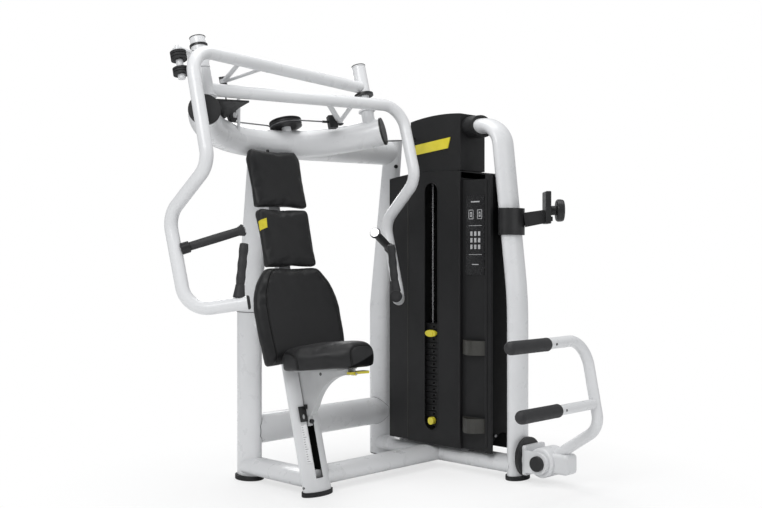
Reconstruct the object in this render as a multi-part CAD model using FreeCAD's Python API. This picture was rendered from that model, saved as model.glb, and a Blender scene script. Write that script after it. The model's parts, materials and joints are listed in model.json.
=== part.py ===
import FreeCAD, Part
import math
import os

# Chest press machine. Millimetres, degrees. +Z up, floor at Z = 0.
# The seated person's middle plane is X = 0 and they face -Y; the weight tower is on their left (+X).
# Origin: floor point under the seat post.

V = FreeCAD.Vector

# ---- overall layout ----
TILT = 15.0                 # posts, seat post and back pads lean back by this angle
COLUMN_Y = 360.0            # rear columns stand on this line
TOWER_X = 665.0             # middle plane of the weight tower
FOOT_H = 16.0               # rubber feet under the frame
TOWER_FOOT_H = 5.0          # thin one under the tower's rear column
TOWER_LEAN = 20.0           # its top stands this far in front of the other column's

# ---- frame tubes ----
COLUMN_A = 110.0            # rear column oval, front to back
COLUMN_B = 70.0             # rear column oval, side to side
COLUMN_TOP_Y = 302.0        # the upper columns lean forward to this line
SEAM_Z = 596.0              # joint between lower and upper rear column
BEAM_D = 100.0              # curved crossbeam and tie beam tube
BEAM_V = 20.0               # crossbeam middle, forward position in the tilted plane
BEAM_W = 1230.0             # crossbeam plane, height along the post direction
BEAM_END_U = 397.0          # crossbeam half span
BEAM_END_V = 242.0          # crossbeam end, forward position
CROSS_D = 106.0             # lower cross tube
CROSS_Z = 175.0
TIE_Z = 1201.0
BASE_W = 110.0              # flat oval base tube
BASE_H = 62.0
BASE_Z = 50.0
SIDE_TUBE_Y = 50.0
FRONT_COL_Y = -330.0
FRONT_COL_A = 56.0          # front column oval, front to back
FRONT_COL_B = 102.0         # front column oval, side to side

# ---- pivots and press levers ----
POST_U = 361.0
POST_V = 220.0
SHAFT_D = 36.0
SLEEVE_D = 50.0
PIVOT_CLEAR = 0.05          # radial running clearance of the lever sleeves
W_UPPER = 1403.0            # plane of the lever that pivots on the left-hand post side
W_LOWER = 1312.0
POST_TOP_W = 1485.0
LEVER_D = 42.0
CORNER_U = 460.0
CORNER_V = 300.0
ELBOW_1 = (461.0, -24.0, 1071.0)
ELBOW_2 = (483.0, 151.0, 921.0)
CORNER_LOW = (475.0, 68.0, 626.0)
LEVER_END = (332.0, -47.0, 653.0)
GRIP_OUT = (457.0, 102.0, 821.0)
GRIP_IN = (290.0, 18.0, 879.0)
GRIP_TOP = (328.0, -26.0, 834.0)
GRIP_LOW = (350.0, -28.0, 668.0)
GRIP_DISC_D = 32.0          # pale end disc of the wide grip, with its screw hole
GRIP_DISC_T = 3.0
GRIP_HOLE_D = 6.0
GRIP_D = 27.0
GRIP_ROD_D = 16.0
STRUT_D = 11.0
STRUT_W = 20.0
APEX_U = 252.0              # cable end of the strut under each lever
APEX_V = 179.0
APEX_DROP = 36.0
STRUT_U = (124.0, 242.0)
HUB_LOW = (1290.0, 1378.0)  # sleeve of the lower lever, along its post
HUB_HIGH = (1381.0, 1483.0)
STOP_U = -473.0             # ribbed rubber stops behind the upper lever
STOP_V = 255.6
STOP_D = 50.0
STOP_HIGH = (1379.0, 1407.0)
STOP_LOW = (1331.5, 1353.0)
STOP_BAR_W = 1410.5
STOP_BAR_T = 7.5
LEFT_PLATE_W = 1426.0       # black plate on the lower lever's post
PIVOT_PLATE_T = 8.5

# ---- cable run on the crossbeam ----
CABLE_D = 5.0
DRUM_AT = (100.0, 58.0, 1296.0)
DRUM_D = 116.0
DRUM_T = 24.0
DRUM_AXLE_D = 16.0
GUIDE_CORNER = (-182.0, 94.0, 1267.6)    # where the cable turns under the guide pulley
BRACKET_APEX = (-168.0, 142.0, 1325.0)
GUIDE_D = 50.0
GUIDE_T = 12.0
GUIDE_AXLE_D = 10.0
GROOVE = 2.7                # cable middle sits this far inside a pulley rim
GROOVE_CLEAR = 0.5
HIGH_WRAP = (250.0, 370.0)  # degrees of the drum that each lever cable lies on
LOW_WRAP = (110.0, 230.0)
STUD_REACH = 36.0

# ---- pads ----
PAD_Y = 41.0                # front plane of the back pads at PAD_Z
PAD_Z = 500.0
SEAT_REAR_Y = 14.0          # rear edge of the seat pad's underside
SEAT_LOW = 421.0
SEAT_PITCH = 5.0            # the seat rises toward its nose
SEAT_T = 74.0

SEAT_LEVER_Y = -172.0
SEAT_LEVER_Z = 416.0
LOCK_Y = 48.0
SEAT_POST_W = 119.0         # flat oval post, wide face to the front
SEAT_POST_D = 49.0
SEAT_POST_WALL = 6.0
SEAT_SLOT_W = 31.0
SEAT_BLADE_T = 23.0
SEAT_SLIDE_GAP = 1.0

# ---- tower ----
SHELL_IN = 598.0            # cover face on the user's side
SHELL_OUT = 738.0
SHELL_T = 4.0
SHELL_BOTTOM = 88.0
SHELL_FRONT = -260.0
SHELL_REAR = 239.0
STACK_Y = 23.0
SLOT_W = 66.0
SLOT_LOW = 140.0
SLOT_TOP = 1070.0
PLATE_T = 22.0
PLATE_PITCH = 23.5
PLATE_LEN = 300.0
PLATE_DEEP = 112.0
STACK_BASE = 140.0
REST_PLATES = 15
LIFT_PLATES = 2
ROD_D = 14.0
ROD_CLEAR = 0.6
ROD_OFFSET = 54.0
SELECTOR_D = 26.0
HEAD_PULLEY_D = 70.0
TURN_PULLEY_D = 38.0
CABLE_EXIT = (410.0, 94.0, 1217.0)
TOWER_ENTRY = (598.0, 108.0, 1237.0)
TOWER_CORNER = (655.0, 112.2, 1243.0)

# ---- foot lever ----
FOOT_X = 682.0
FOOT_PIVOT_Y = -449.0
FOOT_PIVOT_Z = 76.0
FOOT_TUBE_D = 42.0

SIN = math.sin(math.radians(TILT))
COS = math.cos(math.radians(TILT))
UP = V(0, SIN, COS)         # post direction
FWD = V(0, -COS, SIN)       # forward in the tilted plane


def tilted(u, v, w):
    """Point from side position u, forward position v and height w along the post direction."""
    return V(u, 0, 0) + FWD * v + UP * w


def padpoint(x, y, s):
    """Point from pad axes: x sideways, y behind the front plane, s up along the pads."""
    return V(x, PAD_Y, PAD_Z) + V(0, COS, -SIN) * y + UP * s


def place(shape, origin):
    """Turns a shape drawn upright into the leaning axes and moves it to origin."""
    shape = shape.copy()
    shape.rotate(V(0, 0, 0), V(1, 0, 0), -TILT)
    shape.translate(origin)
    return shape


def fuse(shapes):
    result = shapes[0]
    if len(shapes) > 1:
        result = shapes[0].multiFuse(shapes[1:])
    return result.removeSplitter()


def rod(p, q, d):
    """Round bar from p to q."""
    axis = q - p
    return Part.makeCylinder(d / 2.0, axis.Length, p, axis)


def ring(p, q, d_out, d_in):
    return rod(p, q, d_out).cut(rod(p, q, d_in))


def bent_axis(points, bends):
    """Wire through points with the inner corners rounded to the bend radii."""
    edges = []
    start = points[0]
    for i in range(1, len(points) - 1):
        a = (points[i - 1] - points[i]).normalize()
        b = (points[i + 1] - points[i]).normalize()
        half = a.getAngle(b) / 2.0
        run = bends[i - 1] / math.tan(half)
        p = points[i] + a * run
        q = points[i] + b * run
        middle = (a + b).normalize()
        centre = points[i] + middle * (bends[i - 1] / math.sin(half))
        top = centre - middle * bends[i - 1]
        edges.append(Part.makeLine(start, p))
        edges.append(Part.Arc(p, top, q).toShape())
        start = q
    edges.append(Part.makeLine(start, points[-1]))
    return Part.Wire(edges)


def sweep(axis, profile):
    maker = Part.BRepOffsetAPI.MakePipeShell(axis)
    maker.setFrenetMode(False)
    maker.add(profile)
    maker.build()
    maker.makeSolid()
    return maker.shape()


def bent_bar(points, bends, d):
    """Round bar along bent straight runs."""
    axis = bent_axis(points, bends)
    circle = Part.makeCircle(d / 2.0, points[0], points[1] - points[0])
    return sweep(axis, Part.Wire([circle]))


def oval(centre, a, b, along, across):
    """Ellipse wire: a is the full size along the first direction, b across it."""
    normal = along.cross(across)
    if a >= b:
        curve = Part.Ellipse(centre + along * (a / 2.0), centre + across * (b / 2.0), centre)
    else:
        curve = Part.Ellipse(centre + across * (b / 2.0), centre - along * (a / 2.0), centre)
    return Part.Wire([curve.toShape()])


def oval_bar(p, q, a, b, along, across):
    base = Part.Face(oval(p, a, b, along, across))
    return base.extrude(q - p)


def loft(wires):
    return Part.makeLoft(wires, True, False)


def outline(points, direction, depth):
    """Flat polygon pushed along direction by depth."""
    wire = Part.makePolygon(points + [points[0]])
    return Part.Face(wire).extrude(direction * depth)


def rounded(shape, radius, keep=None):
    """Rounds every edge, or those that keep() picks."""
    edges = [e for e in shape.Edges if keep is None or keep(e)]
    return shape.makeFillet(radius, edges)


def along_x(edge):
    t = edge.tangentAt(edge.FirstParameter)
    return abs(t.x) > 0.99


def mirror(shape):
    return shape.mirror(V(0, 0, 0), V(1, 0, 0))


PARTS = {}
FRAME = {}


def keep(name, shapes):
    """Registers a node: one solid or a group of separate solids."""
    if not isinstance(shapes, list):
        shapes = [shapes]
    solids = []
    for shape in shapes:
        solids.extend(shape.Solids)
    PARTS[name] = solids[0] if len(solids) == 1 else Part.makeCompound(solids)


# ---------------------------------------------------------------- frame
def rear_columns():
    lower = oval_bar(V(0, COLUMN_Y, FOOT_H), V(0, COLUMN_Y, SEAM_Z), COLUMN_A, COLUMN_B,
                     V(0, 1, 0), V(1, 0, 0))
    top = V(0, COLUMN_TOP_Y, TIE_Z - 10)
    upper = loft([oval(V(0, COLUMN_Y, SEAM_Z), COLUMN_A + 2, COLUMN_B + 2, V(0, 1, 0), V(1, 0, 0)),
                  oval(top, COLUMN_A - 14, COLUMN_B - 4, V(0, 1, 0), V(1, 0, 0))])
    tower_low = oval_bar(V(TOWER_X, COLUMN_Y - 6, TOWER_FOOT_H), V(TOWER_X, COLUMN_Y - 6, SEAM_Z),
                         COLUMN_A - 12, COLUMN_B, V(0, 1, 0), V(1, 0, 0))
    tower_high = loft([oval(V(TOWER_X, COLUMN_Y - 6, SEAM_Z), COLUMN_A - 12, COLUMN_B, V(0, 1, 0), V(1, 0, 0)),
                       oval(V(TOWER_X, COLUMN_TOP_Y - TOWER_LEAN, TIE_Z + 52), COLUMN_A - 30, COLUMN_B - 10,
                            V(0, 1, 0), V(1, 0, 0))])
    return lower, upper, fuse([tower_low, tower_high])


def crossbeam_axis():
    middle = tilted(0, BEAM_V, BEAM_W)
    left = tilted(-BEAM_END_U, BEAM_END_V, BEAM_W)
    right = tilted(BEAM_END_U, BEAM_END_V, BEAM_W)
    return left, middle, right


def crossbeam():
    left, middle, right = crossbeam_axis()
    arc = Part.Arc(left, middle, right).toShape()
    start = arc.tangentAt(arc.FirstParameter)
    circle = Part.makeCircle(BEAM_D / 2.0, arc.valueAt(arc.FirstParameter), start)
    tube = sweep(Part.Wire([arc]), Part.Wire([circle]))
    caps = []
    for at, sign in ((arc.FirstParameter, -1.0), (arc.LastParameter, 1.0)):
        t = arc.tangentAt(at) * sign
        p = arc.valueAt(at)
        cap = Part.makeCylinder(BEAM_D / 2.0 + 1.0, 7.0, p, t)
        cap = rounded(cap, 2.0, lambda e: e.Length > 50 and (e.CenterOfMass - p).dot(t) > 4)
        caps.append(cap)
    return tube, caps


def base_tubes():
    along = V(1, 0, 0)
    up = V(0, 0, 1)
    centre = oval_bar(V(0, COLUMN_Y - 14, BASE_Z), V(0, SIDE_TUBE_Y - 40, BASE_Z), BASE_W, BASE_H, along, up)
    side = oval_bar(V(40, SIDE_TUBE_Y, BASE_Z), V(TOWER_X, SIDE_TUBE_Y, BASE_Z), BASE_W, BASE_H, V(0, 1, 0), up)
    tower = oval_bar(V(TOWER_X, COLUMN_Y - 26, BASE_Z), V(TOWER_X, FRONT_COL_Y, BASE_Z), BASE_W, BASE_H, along, up)
    return centre, side, tower


def front_column():
    points = [V(TOWER_X, FRONT_COL_Y, FOOT_H), V(TOWER_X, FRONT_COL_Y, 640),
              V(TOWER_X, -256, 1272), V(TOWER_X, -104, 1272)]
    axis = bent_axis(points, [1500.0, 85.0])
    profile = oval(points[0], FRONT_COL_A, FRONT_COL_B, V(0, 1, 0), V(1, 0, 0))
    maker = Part.BRepOffsetAPI.MakePipeShell(axis)
    maker.setBiNormalMode(V(1, 0, 0))
    maker.add(profile)
    maker.build()
    maker.makeSolid()
    return maker.shape()


def feet():
    spots = [(0, COLUMN_Y, COLUMN_A + 6, COLUMN_B + 24, FOOT_H), (0, 0, SEAT_POST_D + 12, SEAT_POST_W + 10, FOOT_H),
             (TOWER_X, FRONT_COL_Y, 74, 108, FOOT_H), (TOWER_X, COLUMN_Y - 6, 96, 68, TOWER_FOOT_H)]
    result = []
    for x, y, a, b, high in spots:
        foot = oval_bar(V(x, y, 0), V(x, y, high), a, b, V(0, 1, 0), V(1, 0, 0))
        result.append(rounded(foot, 3.0, lambda e: e.Length > 40 and e.CenterOfMass.z < 1))
    return result


# ---------------------------------------------------------------- pivots
def pivot_posts():
    """Fixed shafts with foot and flange; the +X one ends in a cap, the -X one in spacer and top tube."""
    result = []
    for sign in (-1.0, 1.0):
        def on(w):
            return tilted(sign * POST_U, POST_V, w)
        top = HUB_LOW[0] - 2.0 if sign < 0 else W_LOWER + 4
        pieces = [rod(on(BEAM_W + 20), on(POST_TOP_W - 3), SHAFT_D),
                  rod(on(BEAM_W + 18), on(top - 5), 46),
                  rod(on(top - 5), on(top), 62)]
        if sign < 0:
            pieces.append(rod(on(HUB_LOW[1] + 3), on(STOP_BAR_W), SLEEVE_D))
            pieces.append(rod(on(STOP_BAR_W + STOP_BAR_T), on(LEFT_PLATE_W), SLEEVE_D))
            pieces.append(rod(on(LEFT_PLATE_W + PIVOT_PLATE_T), on(POST_TOP_W + 2), SLEEVE_D))
        else:
            pieces.append(rod(on(HUB_HIGH[1] + 1), on(HUB_HIGH[1] + 7), SLEEVE_D))
        result.append(fuse(pieces))
    return result


def pivot_plates():
    """Black washers, the guard plate on the beam and the retaining ring of the -X post."""
    low = LEFT_PLATE_W
    left = ring(tilted(-POST_U, POST_V, low), tilted(-POST_U, POST_V, low + PIVOT_PLATE_T), 70, SHAFT_D)
    right = ring(tilted(POST_U, POST_V, 1371), tilted(POST_U, POST_V, 1379), 70, SHAFT_D)
    points = [tilted(u, v, 1279) for u, v in ((-334, 216), (-205, 236), (-206, 189), (-191, 60), (-232, 66))]
    guard = outline(points, UP, 6)
    w = POST_TOP_W - 30.0
    clip = ring(tilted(-POST_U, POST_V, w), tilted(-POST_U, POST_V, w + 6), SLEEVE_D + 8, SLEEVE_D)
    tail = rod(tilted(-POST_U - 10, POST_V + 27, w + 3), tilted(-POST_U + 38, POST_V + 13, w - 3), 5)
    clip = fuse([clip, tail.cut(rod(tilted(-POST_U, POST_V, w - 15), tilted(-POST_U, POST_V, w + 15), SLEEVE_D))])
    return [left, right, guard, clip]


def lever_stops():
    rollers = []
    for w0, w1 in (STOP_LOW, STOP_HIGH):
        roller = rod(tilted(STOP_U, STOP_V, w0), tilted(STOP_U, STOP_V, w1), STOP_D)
        count = 3
        step = (w1 - w0) / count
        for i in range(1, count):
            w = w0 + i * step
            low = tilted(STOP_U, STOP_V, w - 1.2)
            high = tilted(STOP_U, STOP_V, w + 1.2)
            roller = roller.cut(ring(low, high, STOP_D + 2, STOP_D - 5))
        rollers.append(roller.cut(rod(tilted(STOP_U, STOP_V, w0 - 1), tilted(STOP_U, STOP_V, w1 + 1), 14)))
    return rollers


def stop_bracket():
    """Flat bar from the -X post to the stud that carries the rubber stops."""
    post = tilted(-POST_U, POST_V, STOP_BAR_W)
    stud = tilted(STOP_U, STOP_V, STOP_BAR_W)
    along = (stud - post).normalize()
    side = along.cross(UP)
    bar = outline([post - side * 22, stud - side * 14, stud + side * 14, post + side * 22], UP, STOP_BAR_T)
    ends = [rod(post, post + UP * STOP_BAR_T, 58), rod(stud, stud + UP * STOP_BAR_T, 30)]
    low = STOP_LOW[0] - 13.0
    stud_bar = rod(tilted(STOP_U, STOP_V, low), tilted(STOP_U, STOP_V, STOP_BAR_W + 17), 14)
    nut = rod(tilted(STOP_U, STOP_V, low), tilted(STOP_U, STOP_V, STOP_LOW[0] - 0.5), 24)
    collar = rod(tilted(STOP_U, STOP_V, STOP_LOW[1]), tilted(STOP_U, STOP_V, STOP_HIGH[0]), 22)
    shape = fuse([bar, stud_bar, nut, collar] + ends)
    low = STOP_BAR_W - 15
    return shape.cut(rod(tilted(-POST_U, POST_V, low), tilted(-POST_U, POST_V, low + 30), SHAFT_D))


# ---------------------------------------------------------------- cables
def grooved(p, q, d, bore, grooves):
    """Pulley from p to q with round grooves at the given shares of its width."""
    body = rod(p, q, d)
    axis = q - p
    minor = CABLE_D / 2.0 + GROOVE_CLEAR
    for share in grooves:
        c = p + axis * share
        body = body.cut(Part.makeTorus(d / 2.0 - GROOVE, minor, c, axis))
        side = axis.normalize() * minor * 0.9
        body = body.cut(ring(c - side, c + side, d + 4, d - 2 * GROOVE))
        axis = q - p
    return body.cut(rod(p - axis, q + axis, bore))


def cable_drum():
    u, v, w = DRUM_AT
    return grooved(tilted(u, v, w - DRUM_T / 2.0), tilted(u, v, w + DRUM_T / 2.0), DRUM_D,
                   DRUM_AXLE_D + 2 * PIVOT_CLEAR, (0.25, 0.75))


def high_cable_start():
    apex = apex_point(W_UPPER)
    return stud_end(V(-apex.x, apex.y, apex.z), tilted(*GUIDE_CORNER), STUD_REACH)


def guide_frame():
    """Centre and axis of the guide pulley, which lies in the plane of the cable's turn."""
    corner = tilted(*GUIDE_CORNER)
    a = (high_cable_start() - corner).normalize()
    b = (drum_approach(HIGH_WRAP[0], 1.0, DRUM_T / 4.0) - corner).normalize()
    half = a.getAngle(b) / 2.0
    centre = corner + (a + b).normalize() * ((GUIDE_D / 2.0 - GROOVE) / math.sin(half))
    axis = a.cross(b).normalize()
    if axis.dot(FWD) < 0:
        axis = axis * -1.0
    return centre, axis


def guide_pulley():
    centre, axis = guide_frame()
    return grooved(centre - axis * (GUIDE_T / 2.0), centre + axis * (GUIDE_T / 2.0), GUIDE_D,
                   GUIDE_AXLE_D + 2 * PIVOT_CLEAR, (0.5,))


def pulley_brackets():
    """Axle of the cable drum and the two-legged bracket of the guide pulley."""
    u, v, w = DRUM_AT
    axle = rod(tilted(u, v, BEAM_W + 36), tilted(u, v, w + DRUM_T / 2.0 + 8), DRUM_AXLE_D)
    seat = rod(tilted(u, v, BEAM_W + 36), tilted(u, v, w - DRUM_T / 2.0 - 1.0), 34)
    head = rod(tilted(u, v, w + DRUM_T / 2.0 + 1.0), tilted(u, v, w + DRUM_T / 2.0 + 8), 26)
    drum_axle = fuse([axle, seat, head])
    centre, axis = guide_frame()
    bolt = rod(centre - axis * (GUIDE_T / 2.0 + 6), centre + axis * 18, GUIDE_AXLE_D)
    bolt_head = rod(centre - axis * (GUIDE_T / 2.0 + 6), centre - axis * (GUIDE_T / 2.0 + 1), 18)
    washer = rod(centre + axis * (GUIDE_T / 2.0 + 1), centre + axis * 18, 18)
    apex = tilted(*BRACKET_APEX)
    hanger = rod(centre + axis * 17, apex, 11)
    knee = tilted(-172, 100, 1327)
    legs = [rod(apex, knee, 11), rod(knee, tilted(-205, 55, 1277), 11), rod(apex, tilted(-150, 91, 1229), 11),
            rod(knee - UP * 5, knee + UP * 5, 11)]
    return drum_axle, fuse([bolt, bolt_head, washer, hanger, rod(apex - UP * 5.5, apex + UP * 5.5, 13)] + legs)


def wrap(centre, radius, first, last, count):
    """Corner points whose rounded corners follow a circle in the tilted plane, from first to last degree."""
    u, v, w = centre
    step = (last - first) / count
    reach = radius / math.cos(math.radians(step / 2.0))
    points = []
    for i in range(count):
        a = math.radians(first + (i + 0.5) * step)
        points.append(tilted(u + reach * math.cos(a), v + reach * math.sin(a), w))
    a = math.radians(last)
    points.append(tilted(u + radius * math.cos(a), v + radius * math.sin(a), w))
    return points


def stud_end(apex, toward, reach):
    """Far end of the threaded stud of a clevis whose body lies level in the tilted plane."""
    flat = toward - apex
    flat = (flat - UP * flat.dot(UP)).normalize()
    start = apex + flat * 30 + UP * 1.0
    return start + (toward - start).normalize() * reach


def drum_approach(angle, sense, lift):
    """Point on the straight cable just outside the drum rim, for a cable that meets it at angle."""
    u, v, w = DRUM_AT
    r = DRUM_D / 2.0 - GROOVE
    a = math.radians(angle)
    back = 34.0 * sense
    return tilted(u + r * math.cos(a) + back * math.sin(a), v + r * math.sin(a) - back * math.cos(a), w + lift)


def lever_cables():
    """Cable of the upper lever under the guide pulley to the drum, and cable of the lower lever."""
    u, v, w = DRUM_AT
    r = DRUM_D / 2.0 - GROOVE
    points = [high_cable_start(), tilted(*GUIDE_CORNER), drum_approach(HIGH_WRAP[0], 1.0, DRUM_T / 4.0)]
    points = points + wrap((u, v, w + DRUM_T / 4.0), r, HIGH_WRAP[0], HIGH_WRAP[1], 3)
    upper = bent_bar(points, [GUIDE_D / 2.0 - GROOVE, 60.0] + [r - 0.3] * 3, CABLE_D)
    start = stud_end(apex_point(W_LOWER), low_approach(), STUD_REACH)
    points = [start, low_approach()] + wrap((u, v, w - DRUM_T / 4.0), r, LOW_WRAP[0], LOW_WRAP[1], 3)
    lower = bent_bar(points, [60.0] + [r - 0.3] * 3, CABLE_D)
    return [upper, lower]


def low_approach():
    return drum_approach(LOW_WRAP[0], 1.0, -DRUM_T / 4.0)


# ---------------------------------------------------------------- levers
def lever_points(w):
    """Axis points of a press lever drawn for the +X side."""
    corner = tilted(CORNER_U, CORNER_V, w)
    return [tilted(-POST_U, POST_V, w), corner, V(*ELBOW_1), V(*ELBOW_2), V(*CORNER_LOW), V(*LEVER_END)]


def press_lever(w, hub_low, hub_high):
    """Bent lever tube with its pivot sleeve and the welded strut."""
    tube = bent_bar(lever_points(w), [85.0, 75.0, 75.0, 80.0], LEVER_D)
    hub = rod(tilted(-POST_U, POST_V, hub_low), tilted(-POST_U, POST_V, hub_high), SLEEVE_D)
    bore = rod(tilted(-POST_U, POST_V, hub_low - 9), tilted(-POST_U, POST_V, hub_high + 9), SHAFT_D + 2 * PIVOT_CLEAR)
    pin_hole = rod(apex_point(w) - UP * 9, apex_point(w) + UP * 9, 8.0)
    return fuse([tube, hub, lever_strut(w)]).cut(bore).cut(pin_hole)


def apex_point(w):
    return tilted(APEX_U, APEX_V, w - APEX_DROP)


def lever_strut(w):
    """Two thin legs that run back from the lever tube to the cable clevis."""
    apex = apex_point(w)
    slope = (CORNER_V - POST_V) / (CORNER_U + POST_U)
    legs = []
    for u in STRUT_U:
        foot = tilted(u, POST_V + slope * (u + POST_U) - 6, w)
        run = (foot - apex).normalize()
        flat = run.cross(UP).normalize()
        legs.append(oval_bar(foot, apex, STRUT_W, STRUT_D, flat, run.cross(flat)))
    eye = rod(apex - UP * 7, apex + UP * 7, 20)
    return fuse(legs + [eye])


def lever_clevis(w, toward):
    """Clevis block, its pin and the threaded cable end that points along the cable."""
    apex = apex_point(w)
    t = toward - apex
    t = (t - UP * t.dot(UP)).normalize()
    pin = rod(apex - UP * 13.0, apex + UP * 13.0, 8.0)
    side = t.cross(UP)
    arms = []
    for h in (-11.0, 7.2):
        arms.append(outline([apex - t * 10 - side * 9 + UP * h, apex + t * 22 - side * 9 + UP * h,
                             apex + t * 22 + side * 9 + UP * h, apex - t * 10 + side * 9 + UP * h], UP, 3.8))
    body = outline([apex + t * 14 - side * 12 - UP * 22, apex + t * 44 - side * 12 - UP * 22,
                    apex + t * 44 + side * 12 - UP * 22, apex + t * 14 + side * 12 - UP * 22], UP, 46)
    start = apex + t * 30 + UP * 1.0
    stud = rod(start, stud_end(apex, toward, STUD_REACH), 9)
    return fuse(arms + [body, stud, pin])


def hand_parts():
    """Silver grip rod, collar, grips and end cap, drawn for the +X side."""
    out = V(*GRIP_OUT)
    inner = V(*GRIP_IN)
    top = V(*GRIP_TOP)
    low = V(*GRIP_LOW)
    end = V(*LEVER_END)
    corner = V(*CORNER_LOW)
    run = (inner - out).normalize()
    drop = (low - top).normalize()
    tip = inner - run * 4
    disc = rod(tip, tip + run * GRIP_DISC_T, GRIP_DISC_D).cut(rod(tip, tip + run * 9, GRIP_HOLE_D))
    bar = fuse([rod(out - run * 26, tip + run, GRIP_ROD_D), disc])
    post = rod(top + drop * 2, low + drop * 10, GRIP_ROD_D)
    collar = rod(out - run * 14, out + run * 14, 37)
    collar = collar.cut(rod(out - run * 15, out + run * 15, GRIP_ROD_D))
    handle = ring(out + run * 14.5, inner - run * 8, GRIP_D, GRIP_ROD_D)
    flare = Part.makeCone(GRIP_D / 2.0, 19.0, 8, inner - run * 16, run).cut(rod(inner - run * 20, inner, GRIP_ROD_D))
    stop = ring(inner - run * 8, inner - run * 4, 38, GRIP_ROD_D)
    wide = fuse([handle, flare, stop])
    upright = rod(top - drop, low - drop * 34, GRIP_D).cut(rod(top + drop * 2, low, GRIP_ROD_D))
    cone = Part.makeCone(GRIP_D / 2.0, 19.0, 36, low - drop * 36, drop)
    cone = cone.cut(rod(low - drop * 40, low + drop * 2, GRIP_ROD_D))
    tall = fuse([upright, cone])
    axis = (end - corner).normalize()
    cap = Part.makeCylinder(LEVER_D / 2.0 + 1, 9, end, axis)
    cap = rounded(cap, 3.0, lambda e: e.Length > 50 and (e.CenterOfMass - end).dot(axis) > 5)
    return [bar, post], [wide.cut(bar), collar], tall.cut(post), cap


# ---------------------------------------------------------------- pads
def back_pad(points, thick, radius):
    """Pad from its outline in (x, s), rounded over."""
    face = [padpoint(x, 0, s) for x, s in points]
    return rounded(outline(face, V(0, COS, -SIN), thick), radius)


def half_outline(points):
    return points + [(-x, s) for x, s in reversed(points)]


def back_pads():
    head = back_pad(half_outline([(110, 486), (112, 655), (97, 686)]), 36, 8.0)
    middle = back_pad(half_outline([(107, 276), (109, 458), (101, 473)]), 40, 8.0)
    wings = [(172, -56), (180, 50), (181, 130), (172, 175), (154, 215), (129, 246), (108, 266)]
    low = back_pad(half_outline(wings), 44, 8.0)
    return head, middle, low


def pad_boards():
    boards = []
    for half, s0, s1, y in ((84, 500, 655, 36.5), (84, 290, 460, 40.5), (92, -40, 250, 44.5)):
        points = [padpoint(-half, y, s0), padpoint(half, y, s0), padpoint(half, y, s1), padpoint(-half, y, s1)]
        boards.append(outline(points, V(0, COS, -SIN), 10))
    return boards


def pad_carrier():
    """Spine behind the boards and the two stubs that reach back to the rear column."""
    y0 = 55.0
    points = [padpoint(-25, y0, -20), padpoint(25, y0, -20), padpoint(25, y0, 655), padpoint(-25, y0, 655)]
    spine = outline(points, V(0, COS, -SIN), 24)
    fills = []
    for s0, s1, y in ((505, 655, 46.7), (300, 450, 50.7)):
        pts = [padpoint(-25, y, s0), padpoint(25, y, s0), padpoint(25, y, s1), padpoint(-25, y, s1)]
        fills.append(outline(pts, V(0, COS, -SIN), y0 - y + 1))
    stubs = []
    for s in (70, 400, 600):
        p = padpoint(0, y0 + 10, s)
        stubs.append(oval_bar(p, V(0, COLUMN_TOP_Y + 10 + (600 - s) * 0.085, p.z + 10), 46, 40, V(0, 0, 1), V(1, 0, 0)))
    return fuse([spine] + fills + stubs)


# ---------------------------------------------------------------- seat
def seat_axis(z, forward=0.0):
    """Point on the seat post axis at height z."""
    return V(0, (z - FOOT_H) * SIN / COS - forward, z)


def seat_post():
    low = V(0, 0, FOOT_H)
    top = seat_axis(432.0)
    deep = SEAT_POST_D
    wide = SEAT_POST_W
    outer = loft([oval(low, deep, wide, V(0, 1, 0), V(1, 0, 0)), oval(top, deep, wide, V(0, 1, 0), V(1, 0, 0))])
    deep -= 2 * SEAT_POST_WALL
    wide -= 2 * SEAT_POST_WALL
    inner = loft([oval(low + UP * 40, deep, wide, V(0, 1, 0), V(1, 0, 0)),
                  oval(seat_axis(440.0), deep, wide, V(0, 1, 0), V(1, 0, 0))])
    tube = outer.cut(inner)
    a = seat_axis(58.0)
    b = seat_axis(445.0)
    half = SEAT_SLOT_W / 2.0
    cut = outline([a + V(-half, 0, 0), a + V(half, 0, 0), b + V(half, 0, 0), b + V(-half, 0, 0)], V(0, -1, 0), 80)
    return tube.cut(cut)


def seat_point(x, f, h):
    """Point from seat axes: x sideways, f forward from the rear edge, h above the pad's underside."""
    a = math.radians(SEAT_PITCH)
    return V(x, SEAT_REAR_Y - f * math.cos(a) + h * math.sin(a), SEAT_LOW + f * math.sin(a) + h * math.cos(a))


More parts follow.
